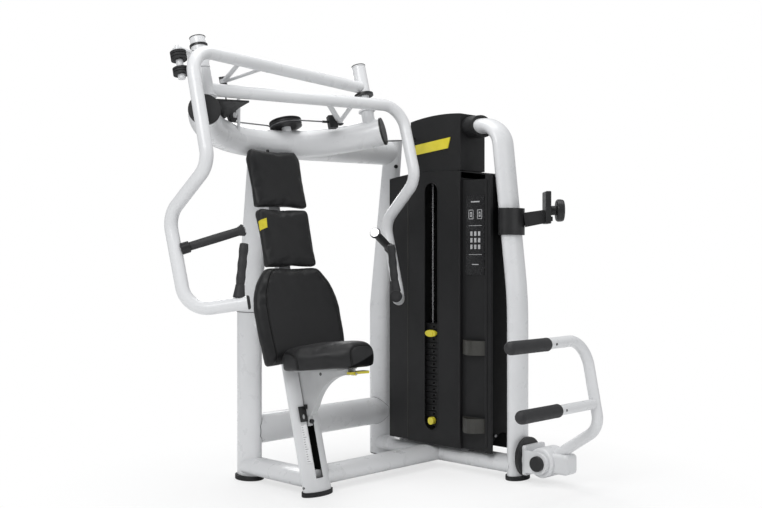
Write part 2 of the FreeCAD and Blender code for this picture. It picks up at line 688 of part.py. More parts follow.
def seat_carriage():
    """Slider inside the post, the curved blade and the plate under the seat."""
    deep = SEAT_POST_D - 2 * (SEAT_POST_WALL + SEAT_SLIDE_GAP)
    wide = SEAT_POST_W - 2 * (SEAT_POST_WALL + SEAT_SLIDE_GAP)
    slider = loft([oval(seat_axis(262.0), deep, wide, V(0, 1, 0), V(1, 0, 0)),
                   oval(seat_axis(420.0), deep, wide, V(0, 1, 0), V(1, 0, 0))])
    p = [V(0, 70, 262), V(0, 22, 262), V(0, -2, 296)]
    curve = Part.Arc(V(0, -2, 296), V(0, -42, 361), V(0, -160, 412)).toShape()
    edges = [Part.makeLine(p[0], p[1]), Part.makeLine(p[1], p[2]), curve,
             Part.makeLine(V(0, -160, 412), V(0, -160, 432)), Part.makeLine(V(0, -160, 432), V(0, 100, 409)),
             Part.makeLine(V(0, 100, 409), p[0])]
    blade = Part.Face(Part.Wire(edges))
    blade.translate(V(-SEAT_BLADE_T / 2.0, 0, 0))
    blade = blade.extrude(V(SEAT_BLADE_T, 0, 0))
    corners = [seat_point(x, f, -0.3) for x, f in ((-95, 6), (95, 6), (95, 90), (45, 156), (-45, 156), (-95, 90))]
    plate = outline(corners, seat_point(0, 0, 0) - seat_point(0, 0, 1), 6.7)
    cover = slider.cut(Part.makeBox(200, 200, 200, V(-100, -100, 406)))
    bolt = rod(V(0, SEAT_LEVER_Y - 16, SEAT_LEVER_Z + 2), V(0, SEAT_LEVER_Y + 14, SEAT_LEVER_Z + 2), 6)
    tongue = Part.makeBox(10, 11.0, 20, V(-5, SEAT_LEVER_Y - 5.5, SEAT_LEVER_Z - 4))
    foot = Part.makeBox(17, 6, 32, V(-11, LOCK_Y - 19, 227))
    neck = Part.makeBox(12, 24, 40, V(-8, LOCK_Y - 19, 232))
    shape = fuse([cover, blade, plate, tongue, bolt, foot, neck])
    return shape.cut(rod(V(-2, LOCK_Y - 24, 242), V(-2, LOCK_Y + 18, 242), 8 + 2 * PIVOT_CLEAR))


def seat_lever():
    """Paddle under the seat front with its pin through the blade end."""
    y = SEAT_LEVER_Y
    z = SEAT_LEVER_Z
    paddle = outline([V(-22, y - 9, z), V(8, y - 12, z), V(30, y - 15, z), V(53, y - 20, z), V(58, y - 7, z),
                      V(53, y + 6, z), V(30, y + 10, z), V(8, y + 10, z), V(-22, y + 7, z)], V(0, 0, 1), 8)
    eye = rod(V(0, y - 12, z + 2), V(0, y + 10, z + 2), 12)
    arm = Part.makeBox(10, 22, 5, V(0, y - 12, z - 0.5))
    shape = fuse([paddle, eye, arm])
    shape = shape.cut(rod(V(0, y - 20, z + 2), V(0, y + 20, z + 2), 6 + 2 * PIVOT_CLEAR))
    return shape.cut(Part.makeBox(14, 12, 40, V(-7, y - 6, z - 18)))


def seat_lock():
    """Slotted lock plate beside the post and the spring pin below the blade."""
    face = V(0, -1, 0)
    across = V(1, 0, 0)
    c = seat_axis(267.0, SEAT_POST_D / 2.0 - 0.1)
    near = -SEAT_BLADE_T / 2.0
    plate = outline([c + across * -43 - UP * 26, c + across * near - UP * 26, c + across * near + UP * 26,
                     c + across * -43 + UP * 26], face, 4)
    plate = rounded(plate, 1.5)
    spot = c - across * 26 - UP * 9
    hole = outline([spot + across * (6.5 * math.cos(k * math.pi / 12)) + UP * (9 * math.sin(k * math.pi / 12))
                    for k in range(24)], V(0, -1, 0), 14)
    hole.translate(V(0, 7, 0))
    lug = Part.makeBox(9, 10, 14, V(near - 9, LOCK_Y - 12, 284))
    plate = fuse([plate.cut(hole), lug])
    pin = rod(V(-2, LOCK_Y - 24, 242), V(-2, LOCK_Y + 3, 242), 8)
    knob = rod(V(-2, LOCK_Y - 27, 242), V(-2, LOCK_Y - 19.3, 242), 15)
    return plate, fuse([pin, knob])


def seat_pad():
    """Saddle-like pad: wide at the rear, with slanting flanks and a narrow nose."""
    half = [(134, 0), (146, 16), (150, 84), (98, 166), (58, 222), (44, 236)]
    points = [seat_point(x, f, 0) for x, f in half] + [seat_point(-x, f, 0) for x, f in reversed(half)]
    up = seat_point(0, 0, 1) - seat_point(0, 0, 0)
    return rounded(outline(points, up, SEAT_T), 13.0)


def write_parts():
    os.makedirs("parts", exist_ok=True)
    for name in sorted(os.listdir("parts")):
        if name.endswith(".step"):
            os.remove(os.path.join("parts", name))
    for name, shape in PARTS.items():
        shape.exportStep("parts/%s.step" % name)
        box = shape.BoundBox
        print("%-26s solids %2d valid %s  X %.0f %.0f Y %.0f %.0f Z %.0f %.0f" % (
            name, len(shape.Solids), shape.isValid(), box.XMin, box.XMax, box.YMin, box.YMax, box.ZMin, box.ZMax))
    print(len(PARTS), "nodes")


# ---------------------------------------------------------------- tower
def side_profile(inset, x, low, high):
    """Arched outline of the weight tower in the Y-Z plane at x."""
    front = SHELL_FRONT + inset
    rear = SHELL_REAR - inset
    top = high - inset
    edges = []
    a = V(x, rear, low)
    b = V(x, rear, top - 14)
    c = V(x, front, top - 22)
    d = V(x, front, low)
    edges.append(Part.makeLine(a, b))
    edges.append(Part.Arc(b, V(x, -60, top + 4), c).toShape())
    edges.append(Part.makeLine(c, d))
    edges.append(Part.makeLine(d, a))
    return Part.Face(Part.Wire(edges))


def slot_shape(x, depth):
    r = SLOT_W / 2.0
    body = Part.makeBox(depth, SLOT_W, SLOT_TOP - SLOT_LOW - SLOT_W, V(x, STACK_Y - r, SLOT_LOW + r))
    low = Part.makeCylinder(r, depth, V(x, STACK_Y, SLOT_LOW + r), V(1, 0, 0))
    high = Part.makeCylinder(r, depth, V(x, STACK_Y, SLOT_TOP - r), V(1, 0, 0))
    return fuse([body, low, high])


CHANNEL_REAR = -121.0
CHANNEL_FRONT = -236.0
CHANNEL_DEEP = 12.0
SEAM_Y = 142.0
LID_Z = 1108.0


def tower_covers():
    """Near slot panel, channel panel and rear panel, and the far shell, with turned-in edges."""
    outer = side_profile(0, SHELL_IN, SHELL_BOTTOM, LID_Z).extrude(V(62, 0, 0))
    inner = side_profile(SHELL_T, SHELL_IN + SHELL_T, SHELL_BOTTOM - 10, LID_Z).extrude(V(70, 0, 0))
    front = Part.makeBox(120, 40, 1200, V(SHELL_IN + 14, SHELL_FRONT - 20, 0))
    channel = Part.makeBox(CHANNEL_DEEP, CHANNEL_REAR - CHANNEL_FRONT, 1400, V(SHELL_IN, CHANNEL_FRONT, 0))
    back = Part.makeBox(CHANNEL_DEEP + SHELL_T, CHANNEL_REAR - CHANNEL_FRONT + 2 * SHELL_T, 985,
                        V(SHELL_IN, CHANNEL_FRONT - SHELL_T, SHELL_BOTTOM))
    near = fuse([outer.cut(inner), back]).cut(channel).cut(front)
    near = near.cut(slot_shape(SHELL_IN - 1, 12))
    mouth = Part.makeBox(SHELL_OUT - SHELL_IN - 14, HEAD_REAR - HEAD_FRONT - 14, 60,
                         V(SHELL_IN + 7, HEAD_FRONT + 7, LID_Z - 34))
    near = near.cut(mouth)
    rear_half = Part.makeBox(200, 300, 1400, V(SHELL_IN - 10, SEAM_Y, 0))
    rear = near.common(rear_half).cut(Part.makeBox(200, 300, 4, V(SHELL_IN - 10, SEAM_Y, SHELL_BOTTOM)))
    near = near.cut(Part.makeBox(200, 300, 1400, V(SHELL_IN - 10, SEAM_Y - 1.0, 0)))
    tab = Part.makeBox(6, 24, 900, V(SHELL_IN + SHELL_T, SEAM_Y - 14, 120))
    ridges = []
    for y in (CHANNEL_REAR, CHANNEL_FRONT - 9):
        ridge = Part.makeBox(8, 9, 960, V(SHELL_IN - 4, y, SHELL_BOTTOM + 20))
        ridges.append(rounded(ridge, 3.0, lambda e: e.Length > 900 and e.CenterOfMass.x < SHELL_IN))
    near = fuse([near, tab] + ridges)
    front_half = Part.makeBox(200, 400, 1400, V(SHELL_IN - 20, CHANNEL_REAR + 9 - 400, 0))
    channel_panel = near.common(front_half)
    near = near.cut(front_half)
    mid = (SHELL_IN + SHELL_OUT) / 2.0
    far = outer.cut(inner).cut(front)
    far = far.mirror(V(mid, 0, 0), V(1, 0, 0)).cut(mouth)
    return near, channel_panel, rear, far


def front_cover():
    """Dark front strip with an arch cut over the base tube."""
    strip = Part.makeBox(SHELL_OUT - SHELL_IN - 29, 6, 974, V(SHELL_IN + 14.5, SHELL_FRONT - 0.5, 106))
    arch = Part.makeCylinder(60, 40, V(TOWER_X, SHELL_FRONT - 20, 96), V(0, 1, 0))
    return strip.cut(arch)


HEAD_REAR = 130.0
HEAD_FRONT = -121.0
HEAD_TOP = 1322.0
NOSE_FRONT = -168.0


def head_outline(x, inset=0.0):
    rear = HEAD_REAR - inset
    front = HEAD_FRONT + inset
    low = LID_Z + 2.0 + inset
    a = V(x, rear, low)
    b = V(x, rear - 4, HEAD_TOP - 16 - inset)
    c = V(x, front, HEAD_TOP - 4 - inset)
    edges = [Part.makeLine(a, b), Part.Arc(b, V(x, -20, HEAD_TOP - inset), c).toShape(),
             Part.makeLine(c, V(x, front, low)), Part.makeLine(V(x, front, low), a)]
    return Part.Face(Part.Wire(edges))


def head_cap():
    """Hollow hood over the tower with the oval nose that takes the front column."""
    body = head_outline(SHELL_IN - 1).extrude(V(SHELL_OUT - SHELL_IN + 2, 0, 0))
    hollow = head_outline(SHELL_IN + 5, 6.0).extrude(V(SHELL_OUT - SHELL_IN - 10, 0, 0))
    floor_cut = Part.makeBox(SHELL_OUT - SHELL_IN - 10, HEAD_REAR - HEAD_FRONT - 12, 20,
                             V(SHELL_IN + 5, HEAD_FRONT + 6, LID_Z))
    body = body.cut(hollow).cut(floor_cut)
    nose = oval_bar(V(TOWER_X, HEAD_FRONT + 3, 1272), V(TOWER_X, NOSE_FRONT, 1272), FRONT_COL_B + 22, FRONT_COL_A + 26,
                    V(1, 0, 0), V(0, 0, 1))
    socket = oval_bar(V(TOWER_X, -300, 1272), V(TOWER_X, -100, 1272), FRONT_COL_B + 1.0, FRONT_COL_A + 1.0,
                      V(1, 0, 0), V(0, 0, 1))
    lid = side_profile(0, SHELL_IN - 5, SHELL_BOTTOM, LID_Z).extrude(V(SHELL_OUT - SHELL_IN + 10, 0, 0))
    return fuse([body, nose]).cut(socket).cut(lid)


def weight_plate(z):
    x0 = TOWER_X + 5 - PLATE_DEEP / 2.0
    plate = Part.makeBox(PLATE_DEEP, PLATE_LEN, PLATE_T, V(x0, STACK_Y - PLATE_LEN / 2.0, z))
    plate = rounded(plate, 2.0)
    cuts = [Part.makeCylinder(SELECTOR_D / 2.0 + 1.0, PLATE_T + 2, V(TOWER_X + 5, STACK_Y, z - 1))]
    for sign in (-1, 1):
        spot = V(TOWER_X + 5, STACK_Y + sign * ROD_OFFSET, z - 1)
        cuts.append(Part.makeCylinder(ROD_D / 2.0 + ROD_CLEAR, PLATE_T + 2, spot))
    cuts.append(Part.makeCylinder(4.5, 60, V(x0 - 1, STACK_Y, z + PLATE_T / 2.0), V(1, 0, 0)))
    for cut in cuts:
        plate = plate.cut(cut)
    return plate


def stack():
    rest = []
    lift = []
    for i in range(int(REST_PLATES + LIFT_PLATES)):
        z = STACK_BASE + i * PLATE_PITCH
        (rest if i < REST_PLATES else lift).append(weight_plate(z))
    x = TOWER_X + 5
    z_low = STACK_BASE + 2 * PLATE_PITCH
    z_top = STACK_BASE + (REST_PLATES + LIFT_PLATES) * PLATE_PITCH
    bar = Part.makeCylinder(SELECTOR_D / 2.0, z_top + 26 - z_low, V(x, STACK_Y, z_low))
    for i in range(2, int(REST_PLATES + LIFT_PLATES)):
        z = STACK_BASE + i * PLATE_PITCH + PLATE_T / 2.0
        bar = bar.cut(Part.makeCylinder(4.5, 40, V(x - 30, STACK_Y, z), V(1, 0, 0)))
    collar = Part.makeCylinder(21, 14, V(x, STACK_Y, z_top - 1.5 + 0.0))
    bar = fuse([bar, collar]).cut(Part.makeCylinder(3.0, 40, V(x, STACK_Y, z_top + 16)))
    pick = STACK_BASE + (REST_PLATES + 0) * PLATE_PITCH + PLATE_T / 2.0
    pin = Part.makeCylinder(4.2, 62, V(SHELL_IN + 4, STACK_Y, pick), V(1, 0, 0))
    knob = Part.makeCylinder(13, 14, V(SHELL_IN - 8, STACK_Y, pick), V(1, 0, 0))
    oval_knob = oval_bar(V(SHELL_IN - 6, STACK_Y, pick), V(SHELL_IN + 6, STACK_Y, pick), 52, 26, V(0, 1, 0), V(0, 0, 1))
    pin = fuse([pin, knob, oval_knob])
    return rest, lift, bar, pin


def stack_frame():
    x = TOWER_X + 5
    rods = [Part.makeCylinder(ROD_D / 2.0, 1080 - 84, V(x, STACK_Y + s * ROD_OFFSET, 84)) for s in (-1, 1)]
    base = Part.makeBox(110, 330, 14, V(x - 55, STACK_Y - 165, 80))
    buffers = []
    for s in (-1, 1):
        ring_b = Part.makeCylinder(22, STACK_BASE - 94.0, V(x, STACK_Y + s * ROD_OFFSET, 94.0))
        buffers.append(ring_b.cut(Part.makeCylinder(ROD_D / 2.0 + 0.5, 60, V(x, STACK_Y + s * ROD_OFFSET, 90))))
    top = Part.makeBox(110, 222, 8, V(x - 55, STACK_Y - 130, 1076))
    for s in (-1, 1):
        base = base.cut(Part.makeCylinder(ROD_D / 2.0, 40, V(x, STACK_Y + s * ROD_OFFSET, 84)))
        top = top.cut(Part.makeCylinder(ROD_D / 2.0, 40, V(x, STACK_Y + s * ROD_OFFSET, 1060)))
    hole = Part.makeCylinder(9, 60, V(x, STACK_Y, 1060))
    return rods, base, buffers, top.cut(hole)


def head_pulley_axis():
    """Direction of the cable that reaches the head pulley, and the pulley centre."""
    corner = V(*TOWER_CORNER)
    top = V(TOWER_X + 5, STACK_Y, corner.z)
    along = (top - corner).normalize()
    r = HEAD_PULLEY_D / 2.0 - GROOVE
    return along, top - along * r - V(0, 0, r)


def turn_pulley_centre():
    """Centre of the small pulley that turns the cable toward the stack."""
    corner = V(*TOWER_CORNER)
    a = (V(*CABLE_EXIT) - corner).normalize()
    b = (V(TOWER_X + 5, STACK_Y, corner.z) - corner).normalize()
    half = a.getAngle(b) / 2.0
    return corner + (a + b).normalize() * ((TURN_PULLEY_D / 2.0 - GROOVE) / math.sin(half))


def turn_pulley_axis():
    corner = V(*TOWER_CORNER)
    a = V(*CABLE_EXIT) - corner
    b = V(TOWER_X + 5, STACK_Y, corner.z) - corner
    axis = a.cross(b).normalize()
    return axis if axis.z > 0 else axis * -1.0


def tower_pulleys():
    along, centre = head_pulley_axis()
    axis = along.cross(V(0, 0, 1)).normalize()
    head = grooved(centre - axis * 6, centre + axis * 6, HEAD_PULLEY_D, 12 + 2 * PIVOT_CLEAR, (0.5,))
    c = turn_pulley_centre()
    n = turn_pulley_axis()
    turn = grooved(c - n * 5, c + n * 5, TURN_PULLEY_D, 8 + 2 * PIVOT_CLEAR, (0.5,))
    return head, turn


def tower_pulley_bracket(top):
    """Top plate of the guide rods with the posts and axles of the two pulleys."""
    along, centre = head_pulley_axis()
    axis = along.cross(V(0, 0, 1)).normalize()
    pieces = [top]
    for sign in (-1.0, 1.0):
        a = centre + axis * (sign * 7.5)
        base = V(a.x, a.y, 1083)
        pts = [base - along * 18, base + along * 18, a + along * 10 + V(0, 0, 12), a - along * 10 + V(0, 0, 12)]
        pieces.append(outline(pts, axis * sign, 5))
    pieces.append(rod(centre - axis * 14, centre + axis * 14, 12))
    c = turn_pulley_centre()
    n = turn_pulley_axis()
    foot = c - n * (c.z - 1080) * (1.0 / n.z)
    pieces.append(rod(foot, c - n * 6, 20))
    pieces.append(rod(foot, c + n * 9, 8))
    return fuse(pieces)


def stack_cable():
    """From inside the crossbeam end over both tower pulleys down to the selector rod."""
    corner = V(*TOWER_CORNER)
    top = V(TOWER_X + 5, STACK_Y, corner.z)
    low = V(TOWER_X + 5, STACK_Y, STACK_BASE + (REST_PLATES + LIFT_PLATES) * PLATE_PITCH + 20)
    r = HEAD_PULLEY_D / 2.0 - GROOVE
    return bent_bar([V(*CABLE_EXIT), corner, top, low], [TURN_PULLEY_D / 2.0 - GROOVE, r], CABLE_D)


def bottle_clips():
    """Two bent straps across the channel, each one strip with a bowed front."""
    clips = []
    x = SHELL_IN + CHANNEL_DEEP
    y0 = CHANNEL_FRONT + 3
    width = CHANNEL_REAR - CHANNEL_FRONT - 6
    for z, bow in ((462.0, 30.0), (182.0, 44.0)):
        strap = Part.makeBox(4, width, 52, V(x - 4.0, y0, z - 26))
        points = []
        for side in (1.0, -1.0):
            steps = range(9) if side > 0 else range(8, -1, -1)
            for k in steps:
                t = k / 8.0
                points.append(V(x - 2 - bow * math.sin(math.pi * t) - side * 1.6, y0 + t * width, z - 26))
        front = outline(points, V(0, 0, 1), 52)
        clips.append(fuse([strap, front]))
    return clips


# ---------------------------------------------------------------- foot lever
def foot_lever():
    root = V(FOOT_X, FOOT_PIVOT_Y, FOOT_PIVOT_Z)
    low = V(FOOT_X, -657, 216)
    high = V(FOOT_X, -598, 512)
    tube = bent_bar([root + V(0, 8, -4), low, high, V(262, -598, 508)], [70.0, 92.0], FOOT_TUBE_D - 4)
    rung = rod(V(FOOT_X, -640, 297), V(262, -640, 297), 34)
    thin = rod(V(266, -598, 508), V(262, -598, 508), 34)
    boss = Part.makeCylinder(52, 96, V(FOOT_X - 48, FOOT_PIVOT_Y, FOOT_PIVOT_Z), V(1, 0, 0))
    boss = rounded(boss, 8.0, lambda e: e.Length > 100)
    heel = Part.makeBox(72, 92, 70, V(FOOT_X - 36, FOOT_PIVOT_Y - 100, 42))
    heel = rounded(heel, 14.0)
    bore = Part.makeCylinder(12.0 + PIVOT_CLEAR, 200, V(FOOT_X - 100, FOOT_PIVOT_Y, FOOT_PIVOT_Z), V(1, 0, 0))
    return fuse([tube, rung, thin, boss, heel]).cut(bore)


def foot_grips():
    grips = []
    for y, z, d in ((-598, 508, FOOT_TUBE_D - 4), (-640, 297, 34)):
        outer = Part.makeCylinder(22.5, 206, V(258, y, z), V(1, 0, 0))
        outer = rounded(outer, 6.0, lambda e: e.Length > 100)
        grips.append(outer)
    return grips


def foot_mount():
    """Yoke on the front column foot that carries the foot lever pin."""
    block = Part.makeBox(118, 13, 104, V(FOOT_X - 59, -394, 26))
    block = rounded(block, 8.0, lambda e: e.BoundBox.YLength > 10)
    cheeks = []
    for x in (FOOT_X - 63, FOOT_X + 49.5):
        cheek = Part.makeCylinder(38, 13.5, V(x, FOOT_PIVOT_Y, FOOT_PIVOT_Z), V(1, 0, 0))
        arm = Part.makeBox(13.5, 60, 76, V(x, FOOT_PIVOT_Y, 38))
        cheeks.append(fuse([cheek, arm]))
    pin = Part.makeCylinder(12.0, 126, V(FOOT_X - 63, FOOT_PIVOT_Y, FOOT_PIVOT_Z), V(1, 0, 0))
    link = rod(V(TOWER_X, -384, 80), V(TOWER_X, FRONT_COL_Y, 80), 86)
    return fuse([block, link] + cheeks + [pin])


def foot_trim():
    """Round gasket against the column foot and the pivot cover."""
    gasket = rod(V(TOWER_X, -380, 86), V(TOWER_X, -368, 86), 138).cut(Part.makeBox(300, 100, 30, V(500, -400, -9)))
    cover = rod(V(FOOT_X - 77, FOOT_PIVOT_Y, FOOT_PIVOT_Z), V(FOOT_X - 63, FOOT_PIVOT_Y, FOOT_PIVOT_Z), 53)
    return [gasket, rounded(cover, 4.0, lambda e: e.CenterOfMass.x < FOOT_X - 76 and e.Length > 60)]


# ---------------------------------------------------------------- device holder
def holder():
    y = -302.0
    z = 918.0
    d = V(0.6976, -0.7165, 0)
    rise = (d + V(0, 0, 0.17)).normalize()
    side = V(0.7165, 0.6976, 0)
    band = oval_bar(V(TOWER_X, y, z - 48), V(TOWER_X, y, z + 48), FRONT_COL_A + 22, FRONT_COL_B + 18, V(0, 1, 0), V(1, 0, 0))
    hole = oval_bar(V(TOWER_X, y + 0.0, z - 60), V(TOWER_X, y, z + 60), FRONT_COL_A + 7, FRONT_COL_B + 2, V(0, 1, 0), V(1, 0, 0))
    clamp = band.cut(hole)
    root = V(TOWER_X, y, z) + d * 46 + V(0, 0, 6)
    arm_end = root + rise * 74
    across = side
    up = rise.cross(across) * -1.0
    pts = [root - across * 9 - up * 26, root + across * 9 - up * 26, root + across * 9 + up * 26, root - across * 9 + up * 26]
    tip = [arm_end - across * 9 - up * 24, arm_end + across * 9 - up * 24,
           arm_end + across * 9 + up * 24, arm_end - across * 9 + up * 24]
    arm = loft([Part.makePolygon(pts + [pts[0]]), Part.makePolygon(tip + [tip[0]])])
    face = arm_end - rise * 2
    plate_low = face - V(0, 0, 26)
    pl = [plate_low - side * 42, plate_low + side * 42, plate_low + side * 42 + V(0, 0, 116), plate_low - side * 42 + V(0, 0, 116)]
    plate = outline(pl, d, 20)
    plate = rounded(plate, 4.0)
    hub = face + d * 20 + V(0, 0, 22)
    neck = rod(hub - d * 4, hub + d * 22, 34)
    knob = rod(hub + d * 23, hub + d * 50, 78)
    knob = rounded(knob, 5.0, lambda e: e.Length > 100)
    grip_ring = ring(hub + d * 29, hub + d * 41, 80.4, 70)
    knob = knob.cut(grip_ring)
    latch = outline([face + d * 20 - V(0, 0, 16) - side * 10, face + d * 20 - V(0, 0, 16) + side * 10,
                     face + d * 20 + side * 10, face + d * 20 - side * 10], d, 10)
    stud = rod(hub + d * 20, hub + d * 46, 10)
    bore = rod(hub + d * 22, hub + d * 46.5, 10 + 2 * PIVOT_CLEAR)
    return fuse([clamp.cut(arm), arm]), fuse([plate, neck, latch, stud]), [knob.cut(bore)], grip_ring


# ---------------------------------------------------------------- assembly
def build_frame():
    lower, upper, tower = rear_columns()
    beam, caps = crossbeam()
    cross = rod(V(0, COLUMN_Y - 4, CROSS_Z), V(TOWER_X, COLUMN_Y - 6, CROSS_Z), CROSS_D)
    tie = rod(V(40, COLUMN_TOP_Y - 2, TIE_Z - 8), V(TOWER_X, COLUMN_TOP_Y - 4, TIE_Z + 6), BEAM_D)
    centre, side, tower_base = base_tubes()
    column = front_column()
    base = fuse([centre, side, tower_base])
    tie = tie.cut(tower)
    welded = fuse([upper, beam, tie])
    cross = cross.cut(lower).cut(tower)
    base = base.cut(lower).cut(tower)
    column = column.cut(base)
    post = seat_post().cut(base)
    spot = V(TOWER_X - 12, COLUMN_TOP_Y + 3.6 - 46, 1148)
    plug = rod(spot + V(4, 7, 0), spot + V(-3, -6, 0), 15).cut(tower)
    exit_hole = rod(V(*CABLE_EXIT) - V(6, 1, 0), V(*TOWER_ENTRY), CABLE_D + 2)
    welded = welded.cut(exit_hole)
    caps = [cap.cut(exit_hole) for cap in caps]
    FRAME["welded"] = welded
    FRAME["lower"] = lower
    FRAME["column"] = column
    FRAME["base"] = base
    keep("rear_column", lower)
    keep("crossbeam", welded)
    keep("tower_rear_column", tower)
    keep("base_frame", base)
    keep("lower_cross_tube", cross)
    keep("tower_front_column", column)
    keep("seat_post", post)
    keep("floor_feet", feet())
    keep("beam_caps", caps + [plug])
    posts = pivot_posts()
    posts = [p.cut(welded) for p in posts]
    keep("pivot_posts", posts)
    axle, guide = pulley_brackets()
    plates = pivot_plates()
    plates[2] = plates[2].cut(guide).cut(welded).cut(posts[0])
    plates[3] = plates[3].cut(posts[0])
    keep("pivot_plates", [p.cut(welded) for p in plates])
    keep("lever_stops", lever_stops())
    keep("beam_brackets", [axle.cut(welded), guide.cut(welded), stop_bracket().cut(posts[0]).cut(posts[1])])
    keep("cable_drum", cable_drum())
    keep("guide_pulley", guide_pulley())
    keep("steel_cables", lever_cables() + [stack_cable()])


def build_tower():
    near, channel_panel, rear, far = tower_covers()
    keep("tower_side_cover", [near, channel_panel, rear])
    keep("tower_far_cover", far)
    screw = Part.makeCylinder(6, 4, V(SHELL_IN + 24, SHELL_FRONT - 4.5, 150), V(0, 1, 0))
    keep("tower_front_cover", [front_cover().cut(FRAME["column"]), screw])
    head = head_cap().cut(rod(V(*TOWER_ENTRY) - V(12, 0, 0), V(*TOWER_ENTRY) + V(12, 0, 0), 14))
    keep("head_cap", head)
    rest, lift, bar, pin = stack()
    keep("weight_plates_resting", rest)
    keep("weight_plates_lifted", lift)
    keep("selector_rod", bar)
    keep("selector_pin", pin)
    rods, base, buffers, top = stack_frame()
    keep("guide_rods", rods)
    keep("stack_buffers", buffers)
    bracket = tower_pulley_bracket(top)
    keep("stack_brackets", [base.cut(FRAME["base"]), bracket])
    head_pulley, turn_pulley = tower_pulleys()
    keep("head_pulley", head_pulley)
    keep("turn_pulley", turn_pulley)
    keep("bottle_clips", bottle_clips())
    badge = outline([V(SHELL_IN - 1, 100, 1178), V(SHELL_IN - 1, -62, 1194), V(SHELL_IN - 1, -74, 1234),
                     V(SHELL_IN - 1, 100, 1216)], V(-1, 0, 0), 3)
    keep("head_badge", badge)
    keep("instruction_plate", Part.makeBox(2, 84, 291, V(SHELL_IN + CHANNEL_DEEP - 2.0, CHANNEL_FRONT + 12, 725)))
    knob_z = STACK_BASE + PLATE_PITCH + PLATE_T / 2.0
    knob = Part.makeCylinder(14, 16, V(SHELL_IN - 4, STACK_Y, knob_z), V(1, 0, 0))
    stem = Part.makeCylinder(4.2, 30, V(SHELL_IN + 10, STACK_Y, knob_z), V(1, 0, 0))
    keep("increment_knob", fuse([knob, stem]))


def build_levers():
    left = press_lever(W_LOWER, *HUB_LOW)
    right = mirror(press_lever(W_UPPER, *HUB_HIGH))
    corner = tilted(*GUIDE_CORNER)
    mirrored_corner = V(-corner.x, corner.y, corner.z)
    for name, tube, w, toward, flip in (("left", left, W_LOWER, low_approach(), False),
                                        ("right", right, W_UPPER, mirrored_corner, True)):
        clevis = lever_clevis(w, toward)
        bars, wide, tall, cap = hand_parts()
        shapes = [[clevis], bars, wide, [tall], [cap]]
        if flip:
            shapes = [[mirror(x) for x in group] for group in shapes]
        clevis, bars, wide, tall, cap = shapes
        for bar in bars:
            tube = tube.cut(bar)
        keep(name + "_lever_tube", tube)
        keep(name + "_cable_clevis", clevis[0].cut(tube))
        keep(name + "_grip_rod", bars)
        keep(name + "_wide_grip", [x.cut(tube) for x in wide])
        keep(name + "_upright_grip", [x.cut(tube) for x in tall + cap])


def build_seat():
    carriage = seat_carriage()
    keep("seat_carriage", carriage)
    keep("seat_pad", seat_pad())
    keep("seat_lever", seat_lever())
    plate, pin = seat_lock()
    keep("seat_lock_plate", plate.cut(carriage))
    keep("seat_lock_pin", pin)
    head_pad, middle_pad, low_pad = back_pads()
    keep("headrest_pad", head_pad)
    keep("middle_back_pad", middle_pad)
    keep("lower_back_pad", low_pad)
    carrier = pad_carrier().cut(FRAME["welded"]).cut(FRAME["lower"])
    keep("pad_boards", [board.cut(carrier) for board in pad_boards()])
    keep("pad_carrier", carrier)


def build_foot():
    lever = foot_lever()
    keep("foot_lever", lever)
    keep("foot_lever_grips", [grip.cut(lever) for grip in foot_grips()])
    mount = foot_mount().cut(FRAME["column"])
    keep("foot_lever_mount", mount)
    keep("foot_lever_trim", [x.cut(mount).cut(FRAME["column"]) for x in foot_trim()])


def build_holder():
    clamp, plate, knob, band = holder()
    clamp = clamp.cut(FRAME["column"])
    keep("holder_clamp", clamp)
    keep("holder_plate", plate.cut(clamp))
    keep("holder_knob", knob + [band])


build_frame()
build_tower()
build_levers()
build_seat()
build_foot()
build_holder()
write_parts()
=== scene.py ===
"""Looks of a seated chest press machine, built round its fixed CAD frame.

Lengths are metres, and angles are radians where no name or docstring says degrees. +Z is up, the
floor is Z = 0, the seated person faces -Y and the weight tower stands at +X. The posts, the back
pads and the press levers share axes that lean back by 15 degrees, which tilted() and pad_point()
give.
"""

import json
import logging
import math
from dataclasses import dataclass, field
from enum import Enum
from typing import Callable, Optional, Sequence

import bmesh
import bpy
import numpy as np
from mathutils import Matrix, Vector
from mathutils.bvhtree import BVHTree

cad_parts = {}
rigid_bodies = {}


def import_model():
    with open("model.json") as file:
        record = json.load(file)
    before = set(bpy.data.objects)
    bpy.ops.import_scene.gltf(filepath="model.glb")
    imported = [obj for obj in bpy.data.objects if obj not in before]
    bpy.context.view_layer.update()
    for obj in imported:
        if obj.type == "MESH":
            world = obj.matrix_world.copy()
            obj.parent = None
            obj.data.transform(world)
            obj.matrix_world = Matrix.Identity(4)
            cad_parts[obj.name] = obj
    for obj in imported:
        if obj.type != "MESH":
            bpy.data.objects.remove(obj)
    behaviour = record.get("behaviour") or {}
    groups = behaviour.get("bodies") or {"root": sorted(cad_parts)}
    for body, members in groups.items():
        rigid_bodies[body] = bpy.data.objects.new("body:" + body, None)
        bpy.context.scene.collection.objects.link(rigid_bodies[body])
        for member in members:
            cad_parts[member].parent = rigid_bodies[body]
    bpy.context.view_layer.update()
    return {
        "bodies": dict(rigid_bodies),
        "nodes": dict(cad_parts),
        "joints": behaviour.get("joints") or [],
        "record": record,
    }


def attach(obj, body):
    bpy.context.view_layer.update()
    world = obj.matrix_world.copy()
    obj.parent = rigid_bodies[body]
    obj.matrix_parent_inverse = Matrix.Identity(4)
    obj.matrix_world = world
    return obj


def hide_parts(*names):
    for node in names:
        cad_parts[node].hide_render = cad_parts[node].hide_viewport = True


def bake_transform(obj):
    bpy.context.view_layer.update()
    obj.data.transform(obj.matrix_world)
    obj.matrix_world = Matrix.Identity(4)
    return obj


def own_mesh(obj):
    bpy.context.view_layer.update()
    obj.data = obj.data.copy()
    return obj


log = logging.getLogger("chest_press")

